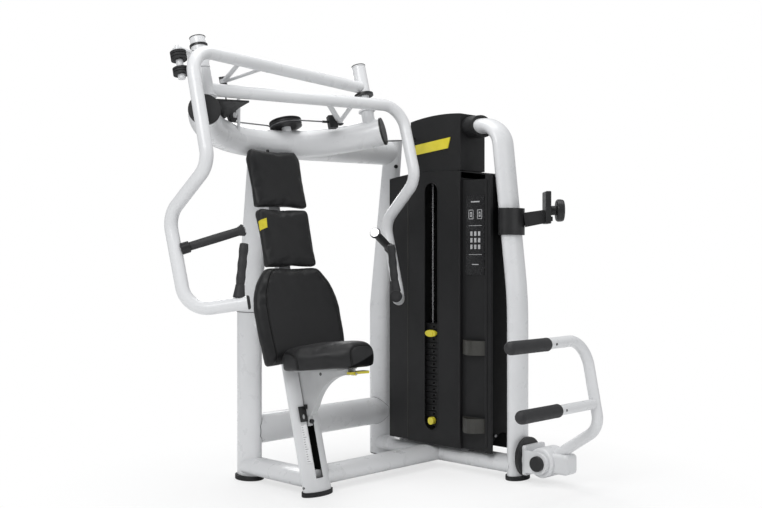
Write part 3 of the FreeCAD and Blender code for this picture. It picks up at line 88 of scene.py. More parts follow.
Array = np.ndarray
Floats = Sequence[float]
Socket = bpy.types.NodeSocket
Thing = bpy.types.Object
LEAN = math.radians(15.0)
SEAT_RISE = math.radians(5.0)
UP = np.array([0.0, math.sin(LEAN), math.cos(LEAN)])
FORWARD = np.array([0.0, -math.cos(LEAN), math.sin(LEAN)])
SIDE = np.array([1.0, 0.0, 0.0])
PAD_ORIGIN = (0.0, 0.041, 0.500)


class Body(str, Enum):
    """Moving bodies of the frame that dressed pieces ride on."""

    FRAME = "frame"
    RIGHT_LEVER = "right_lever"
    LEFT_LEVER = "left_lever"
    SEAT = "seat"
    FOOT_ARM = "foot_arm"


class Slot(str, Enum):
    """Material slots of the record."""

    WHITE_PAINT = "white_paint"
    BLACK_RUBBER = "black_rubber"
    BLACK_PLASTIC = "black_plastic"
    CHARCOAL_SHROUD = "charcoal_shroud"
    BLACK_UPHOLSTERY = "black_upholstery"
    YELLOW_PLASTIC = "yellow_plastic"
    DARK_PRINT = "dark_print"
    POLISHED_STEEL = "polished_steel"


# ------------------------------------------------------------------ places
def unit(v: Array) -> Array:
    """Vectors of length one along the last axis."""
    v = np.asarray(v, dtype=float)
    return v / np.linalg.norm(v, axis=-1, keepdims=True)


def tilted(u: float, v: float, w: float) -> Array:
    """Point from side position u, forward position v and height w along the leaning posts."""
    return u * SIDE + v * FORWARD + w * UP


def pad_point(x: float, depth: float, s: float) -> Array:
    """Point from the back pads' axes: x sideways, depth behind their front plane, s up along them."""
    return np.asarray(PAD_ORIGIN) + x * SIDE - depth * FORWARD + s * UP


# ------------------------------------------------------------------ meshes
def make_object(name: str, points: Array, faces: list, smooth: float = 35.0) -> Thing:
    """Object with its geometry in its mesh, normals outward.

    Args:
        name: object name.
        points: (n, 3) places.
        faces: vertex index lists.
        smooth: edges sharper than this many degrees stay hard.

    Returns:
        The linked object.
    """
    mesh = bpy.data.meshes.new(name)
    mesh.from_pydata(np.asarray(points).reshape(-1, 3).tolist(), [], faces)
    tidy = bmesh.new()
    tidy.from_mesh(mesh)
    bmesh.ops.remove_doubles(tidy, verts=tidy.verts, dist=1e-6)
    bmesh.ops.recalc_face_normals(tidy, faces=tidy.faces)
    tidy.to_mesh(mesh)
    tidy.free()
    mesh.shade_smooth()
    mesh.set_sharp_from_angle(angle=math.radians(smooth))
    thing = bpy.data.objects.new(name, mesh)
    bpy.context.collection.objects.link(thing)
    return thing


def grid_faces(rows: int, cols: int, ring: bool, loop: bool = False, caps: bool = False) -> list:
    """Faces of a grid of rows x cols points.

    Args:
        rows: points along the shape.
        cols: points across it, or round it when ring is True.
        ring: joins the last column to the first.
        loop: joins the last row to the first.
        caps: closes the first and the last row.

    Returns:
        A list of vertex index lists.
    """
    index = np.arange(rows * cols).reshape(rows, cols)
    here = index if ring else index[:, :-1]
    side = np.roll(index, -1, axis=1) if ring else index[:, 1:]
    if loop:
        above, above_side = np.roll(here, -1, axis=0), np.roll(side, -1, axis=0)
    else:
        above, above_side = here[1:], side[1:]
        here, side = here[:-1], side[:-1]
    faces = np.stack([here, side, above_side, above], axis=-1).reshape(-1, 4).tolist()
    if caps:
        faces.append(index[0][::-1].tolist())
        faces.append(index[-1].tolist())
    return faces


def tube(name: str, path: Array, radius, sides: int = 20, reference: Floats = (0, 0, 1), loop: bool = False) -> Thing:
    """Round tube. Each ring is its path point + radius x (cos a x side + sin a x lift).

    Args:
        name: object name.
        path: (n, 3) middle line.
        radius: one radius, or one for each path point.
        sides: points round the tube.
        reference: a direction that the path never runs along; side = tangent x reference.
        loop: the path closes on itself.

    Returns:
        The tube, capped unless it is a loop.
    """
    path = np.asarray(path, dtype=float)
    if loop:
        tangent = unit(np.roll(path, -1, axis=0) - np.roll(path, 1, axis=0))
    else:
        tangent = unit(np.gradient(path, axis=0))
    side = unit(np.cross(tangent, np.asarray(reference, dtype=float)))
    lift = np.cross(side, tangent)
    angle = np.linspace(0.0, 2.0 * math.pi, sides, endpoint=False)
    radii = np.broadcast_to(np.asarray(radius, dtype=float), (len(path),))
    turn = np.cos(angle)[None, :, None] * side[:, None, :] + np.sin(angle)[None, :, None] * lift[:, None, :]
    points = path[:, None, :] + radii[:, None, None] * turn
    faces = grid_faces(len(path), sides, True, loop, not loop)
    return make_object(name, points, faces)


def turned(name: str, start: Array, axis: Array, stations: Floats, radii: Floats, sides: int = 48) -> Thing:
    """Turned body: ring k has radius k and lies at start + axis x station k.

    Args:
        name: object name.
        start: place of station zero.
        axis: direction of growing stations.
        stations: distances along the axis.
        radii: radius at each station.
        sides: points round the body.

    Returns:
        The closed body.
    """
    axis = unit(axis)
    across = unit(np.cross(axis, (0.31, 0.87, 0.38)))
    other = np.cross(axis, across)
    angle = np.linspace(0.0, 2.0 * math.pi, sides, endpoint=False)
    spokes = np.cos(angle)[:, None] * across + np.sin(angle)[:, None] * other
    stations = np.asarray(stations, dtype=float)
    radii = np.asarray(radii, dtype=float)
    middle = np.asarray(start, dtype=float)[None, :] + stations[:, None] * axis
    points = middle[:, None, :] + radii[:, None, None] * spokes[None, :, :]
    return make_object(name, points, grid_faces(len(stations), sides, True, caps=True))


def rounded_path(corners: Array, radii: Floats, step: float = 0.006) -> Array:
    """Middle line of bent wire: straight runs joined by arcs that touch both runs.

    The arc at a corner is centre + cos a x (first touch - centre) + sin a x (its normal), where the
    centre lies on the corner's bisector at radius / sin(half angle).

    Args:
        corners: (n, 3) run ends.
        radii: bend radius at each inner corner.
        step: distance between points on a run.

    Returns:
        (m, 3) points.
    """
    corners = np.asarray(corners, dtype=float)
    pieces = []
    start = corners[0]
    for k, radius in enumerate(radii):
        corner = corners[k + 1]
        back = unit(corners[k] - corner)
        ahead = unit(corners[k + 2] - corner)
        half = math.acos(float(np.clip(back @ ahead, -1.0, 1.0))) / 2.0
        centre = corner + unit(back + ahead) * radius / math.sin(half)
        touch = corner + back * radius / math.tan(half)
        end = corner + ahead * radius / math.tan(half)
        first = touch - centre
        normal = unit(corner - touch) * radius
        sweep = math.pi - 2.0 * half
        angle = np.linspace(0.0, sweep, max(4, int(math.degrees(sweep) / 7.0)))
        arc = centre + np.cos(angle)[:, None] * first + np.sin(angle)[:, None] * normal
        run = np.linspace(0.0, 1.0, max(2, int(np.linalg.norm(touch - start) / step)), endpoint=False)
        pieces.append(start + run[:, None] * (touch - start))
        pieces.append(arc[:-1])
        start = end
    run = np.linspace(0.0, 1.0, max(2, int(np.linalg.norm(corners[-1] - start) / step)))
    pieces.append(start + run[:, None] * (corners[-1] - start))
    return np.concatenate(pieces)


def mirrored(points: Array) -> Array:
    """The same points on the other side of the user's middle plane."""
    return np.asarray(points) * np.array([-1.0, 1.0, 1.0])


def both_sides(line: Sequence[tuple]) -> tuple:
    """A seam's points, and the same seam on the other side."""
    return tuple(line), tuple((-x, s, d) for x, s, d in line)


def read_points(mesh: bpy.types.Mesh) -> Array:
    """A mesh's points as (n, 3) places."""
    points = np.empty(len(mesh.vertices) * 3)
    mesh.vertices.foreach_get("co", points)
    return points.reshape(-1, 3)


def write_points(mesh: bpy.types.Mesh, points: Array) -> None:
    """Moves a mesh's points to (n, 3) places."""
    mesh.vertices.foreach_set("co", points.reshape(-1))
    mesh.update()


# ------------------------------------------------------------------ finishes
class Graph:
    """A node tree while it is being put together."""

    def __init__(self, tree: bpy.types.NodeTree) -> None:
        """Works on that tree."""
        self.tree = tree

    def node(self, kind: str, **settings: object) -> bpy.types.Node:
        """Adds a node. A setting named after an input fills it, and any other is a property."""
        item = self.tree.nodes.new(kind)
        for key, value in settings.items():
            label = key.replace("_", " ")
            names = {socket.name.lower(): socket for socket in item.inputs}
            if label.lower() in names:
                names[label.lower()].default_value = value
            else:
                setattr(item, key, value)
        return item

    def link(self, source: Socket, target: Socket) -> None:
        """Joins two sockets."""
        self.tree.links.new(source, target)


class Recipe(Graph):
    """One material's node tree, with a Principled shader."""

    def __init__(self, name: str) -> None:
        """Starts the material."""
        self.material = bpy.data.materials.new(name)
        self.material.use_nodes = True
        super().__init__(self.material.node_tree)
        self.shader = self.tree.nodes["Principled BSDF"]

    def place(self, turn: Floats = (0, 0, 0)) -> Socket:
        """Object coordinates, which are metres in the machine's own axes, turned."""
        where = self.node("ShaderNodeTexCoord")
        mapping = self.node("ShaderNodeMapping", Rotation=turn)
        self.link(where.outputs["Object"], mapping.inputs["Vector"])
        return mapping.outputs["Vector"]

    def noise(self, place: Socket, scale: float, detail: float = 3.0, rough: float = 0.55) -> Socket:
        """Grey noise of that scale."""
        item = self.node("ShaderNodeTexNoise", Scale=scale, Detail=detail, Roughness=rough)
        self.link(place, item.inputs["Vector"])
        return item.outputs["Fac"]

    def math(self, operation: str, first: object, second: object, third: float = 0.0) -> Socket:
        """One sum. Each of the first two values is a socket or a number."""
        item = self.node("ShaderNodeMath", operation=operation)
        for place, value in enumerate((first, second, third)):
            if isinstance(value, Socket):
                self.link(value, item.inputs[place])
            else:
                item.inputs[place].default_value = value
        return item.outputs[0]

    def cloudy(self, place: Socket, scale: float, detail: float, first: Floats,
               second: Floats, rough: float = 0.55) -> tuple:
        """Grey noise, and two colours mixed by it."""
        cloud = self.noise(place, scale, detail, rough)
        return cloud, self.blend(self.remap(cloud, 0.0, 1.0), first, second)

    def remap(self, value: Socket, low: float, high: float, first: float = 0.35, last: float = 0.65) -> Socket:
        """Stretches first..last of a value to low..high."""
        item = self.node("ShaderNodeMapRange")
        item.inputs["From Min"].default_value = first
        item.inputs["From Max"].default_value = last
        item.inputs["To Min"].default_value = low
        item.inputs["To Max"].default_value = high
        self.link(value, item.inputs["Value"])
        return item.outputs["Result"]

    def blend(self, factor: Socket, first: Floats, second: Floats) -> Socket:
        """Mixes two colours."""
        item = self.node("ShaderNodeMix", data_type="RGBA")
        item.inputs[6].default_value = (*first, 1.0)
        item.inputs[7].default_value = (*second, 1.0)
        self.link(factor, item.inputs[0])
        return item.outputs[2]

    def bump(self, height: Socket, distance: float, strength: float = 1.0, below: Optional[Socket] = None) -> Socket:
        """Bumps of that height in metres, on top of another normal if one is given."""
        item = self.node("ShaderNodeBump", Distance=distance, Strength=strength)
        self.link(height, item.inputs["Height"])
        if below is not None:
            self.link(below, item.inputs["Normal"])
        return item.outputs["Normal"]

    def feed(self, label: str, source: Socket) -> None:
        """Joins a socket to one of the shader's own inputs."""
        self.link(source, self.shader.inputs[label])

    def fill(self, **sockets: object) -> None:
        """Sets plain values on the shader's own sockets."""
        for key, value in sockets.items():
            self.shader.inputs[key.replace("_", " ")].default_value = value


@dataclass(frozen=True)
class MouldedFinish:
    """Paint, plastic, rubber or metal: two near colours mixed by cloudy noise, over a fine skin.

    The colour is a mix of tone and shade by large noise, roughness wanders between its two values,
    and the skin is small noise read as bumps.
    """

    name: str
    tone: tuple
    shade: tuple
    roughness: tuple = (0.3, 0.4)
    cloud: float = 9.0
    skin: float = 900.0
    skin_depth: float = 0.00004
    metallic: float = 0.0
    coat: float = 0.0
    coat_roughness: float = 0.1
    specular: float = 0.5

    def build(self) -> bpy.types.Material:
        """Makes the material."""
        recipe = Recipe(self.name)
        place = recipe.place()
        _, colour = recipe.cloudy(place, self.cloud, 4.0, self.tone, self.shade)
        recipe.feed("Base Color", colour)
        smudge = recipe.noise(place, self.cloud * 3.7, 5.0, 0.6)
        recipe.feed("Roughness", recipe.remap(smudge, *self.roughness))
        skin = recipe.noise(place, self.skin, 2.0)
        recipe.feed("Normal", recipe.bump(skin, self.skin_depth))
        recipe.fill(Metallic=self.metallic, Coat_Weight=self.coat, Coat_Roughness=self.coat_roughness,
                    Specular_IOR_Level=self.specular)
        return recipe.material


@dataclass(frozen=True)
class HollowPostFinish:
    """White paint outside and black inside an oval leaning tube.

    A point is inside where (x / half x) squared + ((y - axis y) / half y) squared is below the
    limit, and the axis y is (z - foot) x the tangent of the lean.
    """

    name: str
    tone: tuple = (0.70, 0.705, 0.715)
    shade: tuple = (0.745, 0.75, 0.76)
    half_x: float = 0.0595
    half_y: float = 0.0245
    foot: float = 0.016
    limit: float = 0.88
    hollow: tuple = (0.002, 0.002, 0.002)

    def build(self) -> bpy.types.Material:
        """Makes the material."""
        recipe = Recipe(self.name)
        place = recipe.place()
        _, paint = recipe.cloudy(place, 6.0, 4.0, self.tone, self.shade)
        parts = recipe.node("ShaderNodeSeparateXYZ")
        recipe.link(place, parts.inputs[0])
        axis = recipe.math("MULTIPLY_ADD", parts.outputs["Z"], -math.tan(LEAN), self.foot * math.tan(LEAN))
        ahead = recipe.math("MULTIPLY", recipe.math("ADD", parts.outputs["Y"], axis), 1.0 / self.half_y)
        across = recipe.math("MULTIPLY", parts.outputs["X"], 1.0 / self.half_x)
        reach = recipe.math("ADD", recipe.math("MULTIPLY", ahead, ahead), recipe.math("MULTIPLY", across, across))
        inside = recipe.math("LESS_THAN", reach, self.limit)
        colour = recipe.blend(inside, self.tone, self.hollow)
        recipe.link(paint, colour.node.inputs[6])
        recipe.feed("Base Color", colour)
        recipe.feed("Roughness", recipe.remap(inside, 0.3, 0.9, 0.0, 1.0))
        skin = recipe.noise(place, 700.0, 2.0)
        recipe.feed("Normal", recipe.bump(skin, 0.00005))
        recipe.fill(Specular_IOR_Level=0.4)
        return recipe.material


@dataclass(frozen=True)
class LeatherFinish:
    """Synthetic leather: small pebbles of a cell pattern, creases of broader noise, a soft sheen.

    Where the mesh attribute seam_shade nears 1 the colour goes to crease, and the gloss and the
    sheen fade out: painted shade in the seam grooves and on the lower end of the seat's nose.
    """

    name: str
    tone: tuple = (0.0085, 0.0085, 0.0092)
    shade: tuple = (0.0135, 0.0135, 0.0142)
    # crease is the colour of the painted shade in the seams and under the seat's nose.
    crease: tuple = (0.0015, 0.0015, 0.0015)
    specular: float = 0.34
    sheen: float = 0.05
    pebble: float = 620.0
    pebble_depth: float = 0.00022

    def build(self) -> bpy.types.Material:
        """Makes the material."""
        recipe = Recipe(self.name)
        place = recipe.place()
        cells = recipe.node("ShaderNodeTexVoronoi", feature="SMOOTH_F1", Scale=self.pebble, Smoothness=0.7)
        recipe.link(place, cells.inputs["Vector"])
        broad, colour = recipe.cloudy(place, 26.0, 5.0, self.tone, self.shade, 0.6)
        # seam_shade darkens the colour and takes away gloss and sheen: painted shade.
        seam = recipe.node("ShaderNodeAttribute", attribute_name="seam_shade")
        darker = recipe.blend(seam.outputs["Fac"], self.tone, self.crease)
        recipe.link(colour, darker.node.inputs[6])
        recipe.feed("Base Color", darker)
        recipe.feed("Roughness", recipe.remap(broad, 0.40, 0.52))
        grain = recipe.bump(cells.outputs["Distance"], self.pebble_depth)
        crease = recipe.bump(recipe.noise(place, 90.0, 4.0, 0.65), 0.0006, 0.55, grain)
        recipe.feed("Normal", crease)
        shine = recipe.remap(seam.outputs["Fac"], self.specular, 0.0, 0.0, 1.0)
        recipe.feed("Specular IOR Level", shine)
        recipe.feed("Sheen Weight", recipe.remap(seam.outputs["Fac"], self.sheen, 0.0, 0.0, 1.0))
        recipe.fill(Sheen_Roughness=0.4)
        return recipe.material


@dataclass(frozen=True)
class GripFinish:
    """Soft moulded rubber: fine noise over the small cells of its skin."""

    name: str
    tone: tuple = (0.024, 0.024, 0.0255)
    shade: tuple = (0.035, 0.035, 0.0365)
    cells: float = 480.0

    def build(self) -> bpy.types.Material:
        """Makes the material."""
        recipe = Recipe(self.name)
        place = recipe.place()
        cloud, colour = recipe.cloudy(place, 30.0, 4.0, self.tone, self.shade)
        recipe.feed("Base Color", colour)
        recipe.feed("Roughness", recipe.remap(cloud, 0.5, 0.64))
        skin = recipe.noise(place, 1400.0, 2.0)
        cells = recipe.node("ShaderNodeTexVoronoi", Scale=self.cells)
        recipe.link(place, cells.inputs["Vector"])
        below = recipe.bump(cells.outputs["Distance"], 0.00025, 0.6)
        recipe.feed("Normal", recipe.bump(skin, 0.0001, 0.8, below))
        recipe.fill(Specular_IOR_Level=0.35)
        return recipe.material


@dataclass(frozen=True)
class CableFinish:
    """Twisted steel cable: slanting wave bands of the world axes stand for the strands."""

    name: str
    tone: tuple = (0.30, 0.30, 0.31)
    shade: tuple = (0.10, 0.10, 0.105)
    metallic: float = 0.9

    def build(self) -> bpy.types.Material:
        """Makes the material."""
        recipe = Recipe(self.name)
        place = recipe.place(turn=(0.5, 0.6, 0.4))
        wave = recipe.node("ShaderNodeTexWave", wave_type="BANDS", Scale=420.0, Distortion=0.4)
        recipe.link(place, wave.inputs["Vector"])
        colour = recipe.blend(wave.outputs["Fac"], self.shade, self.tone)
        recipe.feed("Base Color", colour)
        recipe.feed("Roughness", recipe.remap(wave.outputs["Fac"], 0.45, 0.3, 0.0, 1.0))
        recipe.feed("Normal", recipe.bump(wave.outputs["Fac"], 0.0004))
        recipe.fill(Metallic=self.metallic, Specular_IOR_Level=0.3)
        return recipe.material


@dataclass
class Palette:
    """Every finish of the machine, built once and handed to the sub-assemblies."""

    made: dict = field(default_factory=dict)

    def mix(self) -> None:
        """Builds the materials."""
        recipes = {
            "paint": MouldedFinish("white_gloss_paint", (0.70, 0.705, 0.715), (0.745, 0.75, 0.76), (0.26, 0.34),
                                   6.0, 700.0, 0.00005, coat=0.25, coat_roughness=0.12, specular=0.45),
            "blade": MouldedFinish("seat_blade_paint", (0.46, 0.465, 0.47), (0.52, 0.525, 0.53), (0.34, 0.44)),
            "carrier": MouldedFinish("carrier_paint", (0.09, 0.09, 0.093), (0.12, 0.12, 0.123), (0.4, 0.5)),
            "rubber": MouldedFinish("black_foot_rubber", (0.018, 0.018, 0.019), (0.027, 0.027, 0.028), (0.6, 0.75),
                                    22.0, 1200.0, 0.00012, specular=0.3),
            "plastic": MouldedFinish("black_moulded_plastic", (0.012, 0.012, 0.0125), (0.018, 0.018, 0.019),
                                     (0.34, 0.46), 18.0, 1500.0, 0.00008, specular=0.4),
            "shroud": MouldedFinish("charcoal_shroud_plastic", (0.0105, 0.0105, 0.0112), (0.0135, 0.0135, 0.0142),
                                    (0.46, 0.56), 5.0, 1300.0, 0.00007, specular=0.32),
            # Much darker, less glossy copy of the shroud plastic for the front cover: painted shade on the face
            # turned from the lamps.
            "shroud_painted_shade": MouldedFinish("charcoal_plastic_painted_shade", (0.0015, 0.0015, 0.0017), (0.003, 0.003, 0.0032),
                                          (0.46, 0.56), 6.0, 1300.0, 0.00007, specular=0.12),
            "clip": MouldedFinish("warm_grey_clip_plastic", (0.034, 0.033, 0.029), (0.042, 0.041, 0.036),
                                  (0.4, 0.52), 26.0, 1300.0, 0.00007),
            "yellow": MouldedFinish("yellow_gloss_plastic", (0.70, 0.60, 0.035), (0.76, 0.655, 0.05), (0.28, 0.36),
                                    30.0, 1200.0, 0.00004, coat=0.3, coat_roughness=0.1),
            "tag": MouldedFinish("yellow_woven_tag", (0.60, 0.50, 0.02), (0.70, 0.60, 0.03), (0.6, 0.7),
                                 60.0, 1900.0, 0.0002),
            "print": MouldedFinish("dark_printed_plate", (0.012, 0.012, 0.013), (0.018, 0.018, 0.019),
                                   (0.22, 0.3), 20.0, 1500.0, 0.00002),
            "marks": MouldedFinish("light_print_marks", (0.42, 0.42, 0.43), (0.5, 0.5, 0.51), (0.4, 0.5), 90.0),
            "red_marks": MouldedFinish("red_print_marks", (0.25, 0.03, 0.02), (0.3, 0.05, 0.03), (0.4, 0.5), 90.0),
            "label": MouldedFinish("white_scale_strip", (0.80, 0.80, 0.81), (0.86, 0.86, 0.87), (0.3, 0.4), 60.0),
            "steel": MouldedFinish("brushed_steel", (0.48, 0.48, 0.49), (0.56, 0.56, 0.57), (0.22, 0.34), 40.0,
                                   900.0, 0.00006, metallic=1.0),
            "dark_steel": MouldedFinish("blackened_steel", (0.02, 0.02, 0.021), (0.035, 0.035, 0.036), (0.3, 0.42),
                                        40.0, 900.0, 0.00006, metallic=0.6),
            "iron": MouldedFinish("painted_iron_plates", (0.006, 0.006, 0.0065), (0.012, 0.012, 0.0125), (0.42, 0.58),
                                  30.0, 700.0, 0.00015, specular=0.3),
            "seam": MouldedFinish("dark_joint_line", (0.025, 0.025, 0.026), (0.04, 0.04, 0.041), (0.5, 0.6), 60.0),
            # Grey for the weld beads: painted shade where the cross tube meets the columns.
            "weld_painted_shade": MouldedFinish("grey_weld_painted_shade", (0.16, 0.16, 0.165), (0.22, 0.22, 0.225), (0.5, 0.6), 60.0),
            "thread": MouldedFinish("black_seam_thread", (0.008, 0.008, 0.008), (0.014, 0.014, 0.014), (0.5, 0.6),
                                    200.0, 2500.0, 0.0001),
            "post": HollowPostFinish("white_post_paint"),
            "leather": LeatherFinish("black_grained_upholstery"),
            "grip": GripFinish("soft_grip_rubber"),
            "cable": CableFinish("twisted_steel_cable"),
            # A near-black, matt copy of the cable finish, for the run down inside the tower.
            "dark_cable": CableFinish("near_black_steel_cable", (0.006, 0.006, 0.0065), (0.003, 0.003, 0.003), 0.0),
        }
        for key, finish in recipes.items():
            self.made[key] = finish.build()

    def coat(self, thing: Thing, key: str) -> None:
        """Gives an object one finish, in its existing material slots if it has some."""
        if not thing.material_slots:
            thing.data.materials.append(self.made[key])
        for slot in thing.material_slots:
            slot.material = self.made[key]


NODE_FINISHES = {
    "paint": ("rear_column", "crossbeam", "tower_rear_column", "base_frame", "lower_cross_tube",
              "tower_front_column", "pivot_posts", "left_lever_tube", "right_lever_tube",
              "foot_lever", "beam_brackets", "foot_lever_mount", "pad_carrier"),
    "post": ("seat_post",),
    "blade": ("seat_carriage",),
    "carrier": ("stack_brackets",),
    "rubber": ("floor_feet", "lever_stops", "stack_buffers"),
    "plastic": ("beam_caps", "pivot_plates", "cable_drum", "guide_pulley", "head_pulley", "turn_pulley",
                "foot_lever_trim", "holder_clamp", "holder_plate", "holder_knob", "seat_lock_plate", "pad_boards"),
    "dark_steel": ("left_cable_clevis", "right_cable_clevis", "seat_lock_pin"),
    "shroud": ("tower_side_cover", "tower_far_cover", "head_cap"),
    # The front cover takes the darker shroud copy: painted shade.
    "shroud_painted_shade": ("tower_front_cover",),
    "clip": ("bottle_clips",),
    "yellow": ("head_badge", "selector_pin", "increment_knob", "seat_lever"),
    "print": ("instruction_plate",),
    "steel": ("left_grip_rod", "right_grip_rod", "guide_rods", "selector_rod"),
    "cable": ("steel_cables",),
    "iron": ("weight_plates_resting", "weight_plates_lifted"),
    "grip": ("left_wide_grip", "right_wide_grip", "left_upright_grip", "right_upright_grip", "foot_lever_grips"),
    "leather": ("headrest_pad", "middle_back_pad", "lower_back_pad", "seat_pad"),
}


@dataclass
class Machine:
    """The loaded frame and its palette, shared by all sub-assemblies."""

    frame: dict
    palette: Palette
    pieces: int = 0

    def dress_nodes(self) -> None:
        """Gives every CAD node its finish."""
        for key, names in NODE_FINISHES.items():
            for name in names:
                self.palette.coat(self.frame["nodes"][name], key)
        log.info("%d frame nodes finished", len(self.frame["nodes"]))

    def add(self, thing: Thing, finish: str, body: Optional[Body], slot: Slot, replaces: Sequence[str] = ()) -> Thing:
        """Finishes a new piece, lets it ride on its body and hides the CAD nodes that it stands for.

        Args:
            thing: the piece.
            finish: palette key.
            body: body that it moves with, or None for a piece that rides on no body.
            slot: record slot of its finish; not used.
            replaces: CAD nodes that it stands for.

        Returns:
            The piece.
        """
        self.palette.coat(thing, finish)
        if body is not None:
            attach(thing, body.value)
        if replaces:
            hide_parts(*replaces)
        self.pieces += 1
        log.info("%s rides on %s", thing.name, body.value if body else "two bodies")
        return thing


# ------------------------------------------------------------------ cushions
STUFFING = {"quality": 6, "mass": 0.3, "tension_stiffness": 25.0, "compression_stiffness": 25.0,
            "shear_stiffness": 10.0, "bending_stiffness": 2.0, "use_pressure": True,
            "uniform_pressure_force": 4.0}
STUFFING_FRAMES = 20


@dataclass
class Cushion:
    """A stuffed pad: a rounded outline, a crowned face, rolled edges and sewn seams.

    Pad axes are x sideways, s along the pad and depth behind its face. origin, along and behind
    place them in the machine. corners are the (x, s) points of the outline's +x half. face(x, s) is
    extra height of the face, and the optional painted-shade function of (x, s, depth) is a share of black painted in
    as shade.
    """

    name: str
    node: str
    body: Body
    corners: tuple
    thickness: float
    origin: tuple
    along: tuple
    behind: tuple
    edge: float = 0.012
    back_edge: float = 0.006
    crown: float = 0.004
    pull: float = 0.0008
    corner: float = 0.012
    voxel: float = 0.005
    swell: float = 0.005
    shrink: float = 0.002
    hump_reach: float = 0.07
    face: Optional[Callable] = None
    seams: tuple = ()
    seam_depth: float = 0.0016
    seam_width: float = 0.0022
    shade_width: float = 0.0026
    welt: float = 0.0009
    evening: int = 6
    spare: float = 0.003
    # Share of black from pad coordinates, painted in as shade, or None.
    painted_shade: Optional[Callable] = None

    def place(self, x: Array, s: Array, depth: Array) -> Array:
        """Points of the machine from pad axes."""
        x, s, depth = np.broadcast_arrays(np.asarray(x, float), s, depth)
        return (np.asarray(self.origin) + x[..., None] * SIDE + s[..., None] * np.asarray(self.along)
                + depth[..., None] * np.asarray(self.behind))

    def outline(self, count: int = 240) -> tuple:
        """Closed outline with softened corners, and its outward normals.

        The polygon is walked at even steps and averaged over a window about a corner radius wide,
        which rounds the corners. A point is then drawn in by pull x (gap / hump reach, at most 1)
        squared, where gap is its walk to the nearest corner.
        """
        half = np.array(self.corners, dtype=float)
        ring = np.concatenate([half, half[::-1] * np.array([-1.0, 1.0])])
        closed = np.vstack([ring, ring[:1]])
        runs = np.linalg.norm(np.diff(closed, axis=0), axis=1)
        walk = np.concatenate([[0.0], np.cumsum(runs)])
        at = np.linspace(0.0, walk[-1], count, endpoint=False)
        line = np.stack([np.interp(at, walk, closed[:, k]) for k in (0, 1)], axis=1)
        gap = np.abs(at[:, None] - walk[None, :]).min(axis=1)
        window = max(1, int(self.corner / (walk[-1] / count)))
        kernel = np.hanning(2 * window + 3)[1:-1]
        kernel = kernel / kernel.sum()
        reach = len(kernel) // 2
        wrapped = np.vstack([line[-reach:], line, line[:reach]])
        line = np.stack([np.convolve(wrapped[:, k], kernel, mode="valid") for k in (0, 1)], axis=1)
        step = np.roll(line, -1, axis=0) - np.roll(line, 1, axis=0)
        normal = unit(np.stack([step[:, 1], -step[:, 0]], axis=1))
        middle = line.mean(axis=0)
        normal *= np.sign(((line - middle) * normal).sum(axis=1))[:, None]
        hump = np.clip(gap / self.hump_reach, 0.0, 1.0) ** 2
        return line - normal * (self.pull * hump)[:, None], normal

    def shell(self) -> tuple:
        """Rings from the middle of the face, over the edge, down the side and to the middle of the back.

        Each ring is the outline drawn in by an inset, or scaled to its middle, at its own depth.
        """
        line, normal = self.outline()
        line = line - normal * self.shrink
        middle = line.mean(axis=0)
        face, low = line - normal * self.edge, self.thickness - self.back_edge
        rings = [(middle + (face - middle) * share, self.shrink) for share in np.linspace(0.04, 1.0, 14)]
        for turn in np.linspace(0.0, math.pi / 2.0, 8)[1:]:
            inset = self.edge * (1.0 - math.sin(turn))
            rings.append((line - normal * inset, self.shrink + self.edge * (1 - math.cos(turn))))
        for share in (0.33, 0.66, 1.0):
            rings.append((line, self.shrink + self.edge + (low - self.shrink - self.edge) * share))
        for turn in np.linspace(0.0, math.pi / 2.0, 5)[1:]:
            inset = self.back_edge * (1.0 - math.cos(turn))
            rings.append((line - normal * inset, low + self.back_edge * math.sin(turn)))
        back = rings[-1][0]
        rings += [(middle + (back - middle) * share, self.thickness) for share in np.linspace(1.0, 0.04, 12)[1:]]
        flat = np.stack([ring for ring, _ in rings])
        return flat, np.stack([np.full(len(line), depth) for _, depth in rings])

    def shape(self, x: Array, s: Array, depth: Array) -> Array:
        """Depth after the face's crown and any special form, fading out toward the back.

        The face rises by crown x (1 - sideways share squared) x (1 - lengthwise share to the fourth).
        """
        xs = np.abs(x) / max(abs(c[0]) for c in self.corners)
        low = min(c[1] for c in self.corners)
        high = max(c[1] for c in self.corners)
        ss = (2.0 * (s - low) / (high - low) - 1.0)
        front = np.clip(1.0 - depth / (0.6 * self.thickness), 0.0, 1.0)
        rise = self.crown * np.clip(1.0 - xs ** 2, 0, 1) * np.clip(1.0 - ss ** 4, 0, 1)
        if self.face is not None:
            return depth - front * (rise + self.face(x, s))
        return depth - front * rise

    def start(self) -> Thing:
        """The sewn cover before it is stuffed."""
        flat, depth = self.shell()
        shaped = self.shape(flat[..., 0], flat[..., 1], depth)
        points = self.place(flat[..., 0], flat[..., 1], shaped)
        faces = grid_faces(points.shape[0], points.shape[1], True, caps=True)
        return make_object(self.name, points, faces, 180.0)

    def local(self, thing: Thing) -> tuple:
        """The mesh's points in pad axes, and the three axes as rows."""
        axes = np.stack([SIDE, np.asarray(self.along), np.asarray(self.behind)])
        return (read_points(thing.data) - np.asarray(self.origin)) @ axes.T, axes

    def span(self, thing: Thing) -> tuple:
        """Lowest and highest pad coordinates of the sewn cover at its full size."""
        points, _ = self.local(thing)
        grow = np.array([1.0, 1.0, 0.0]) * (self.shrink + self.spare)
        return points.min(axis=0) - grow - [0.0, 0.0, self.shrink], points.max(axis=0) + grow

    def fit(self, thing: Thing, low: Array, high: Array) -> None:
        """Brings the stuffed cover back to its sewn size, which stuffing draws in.

        Along each pad axis a coordinate moves by one straight line that takes the stuffed limits to
        the sewn ones.

        Args:
            thing: the stuffed cover.
            low: lowest pad coordinates to reach.
            high: highest pad coordinates to reach.
        """
        points, axes = self.local(thing)
        least, most = points.min(axis=0), points.max(axis=0)
        points = low + (points - least) * ((high - low) / (most - least))
        write_points(thing.data, np.asarray(self.origin) + points @ axes)

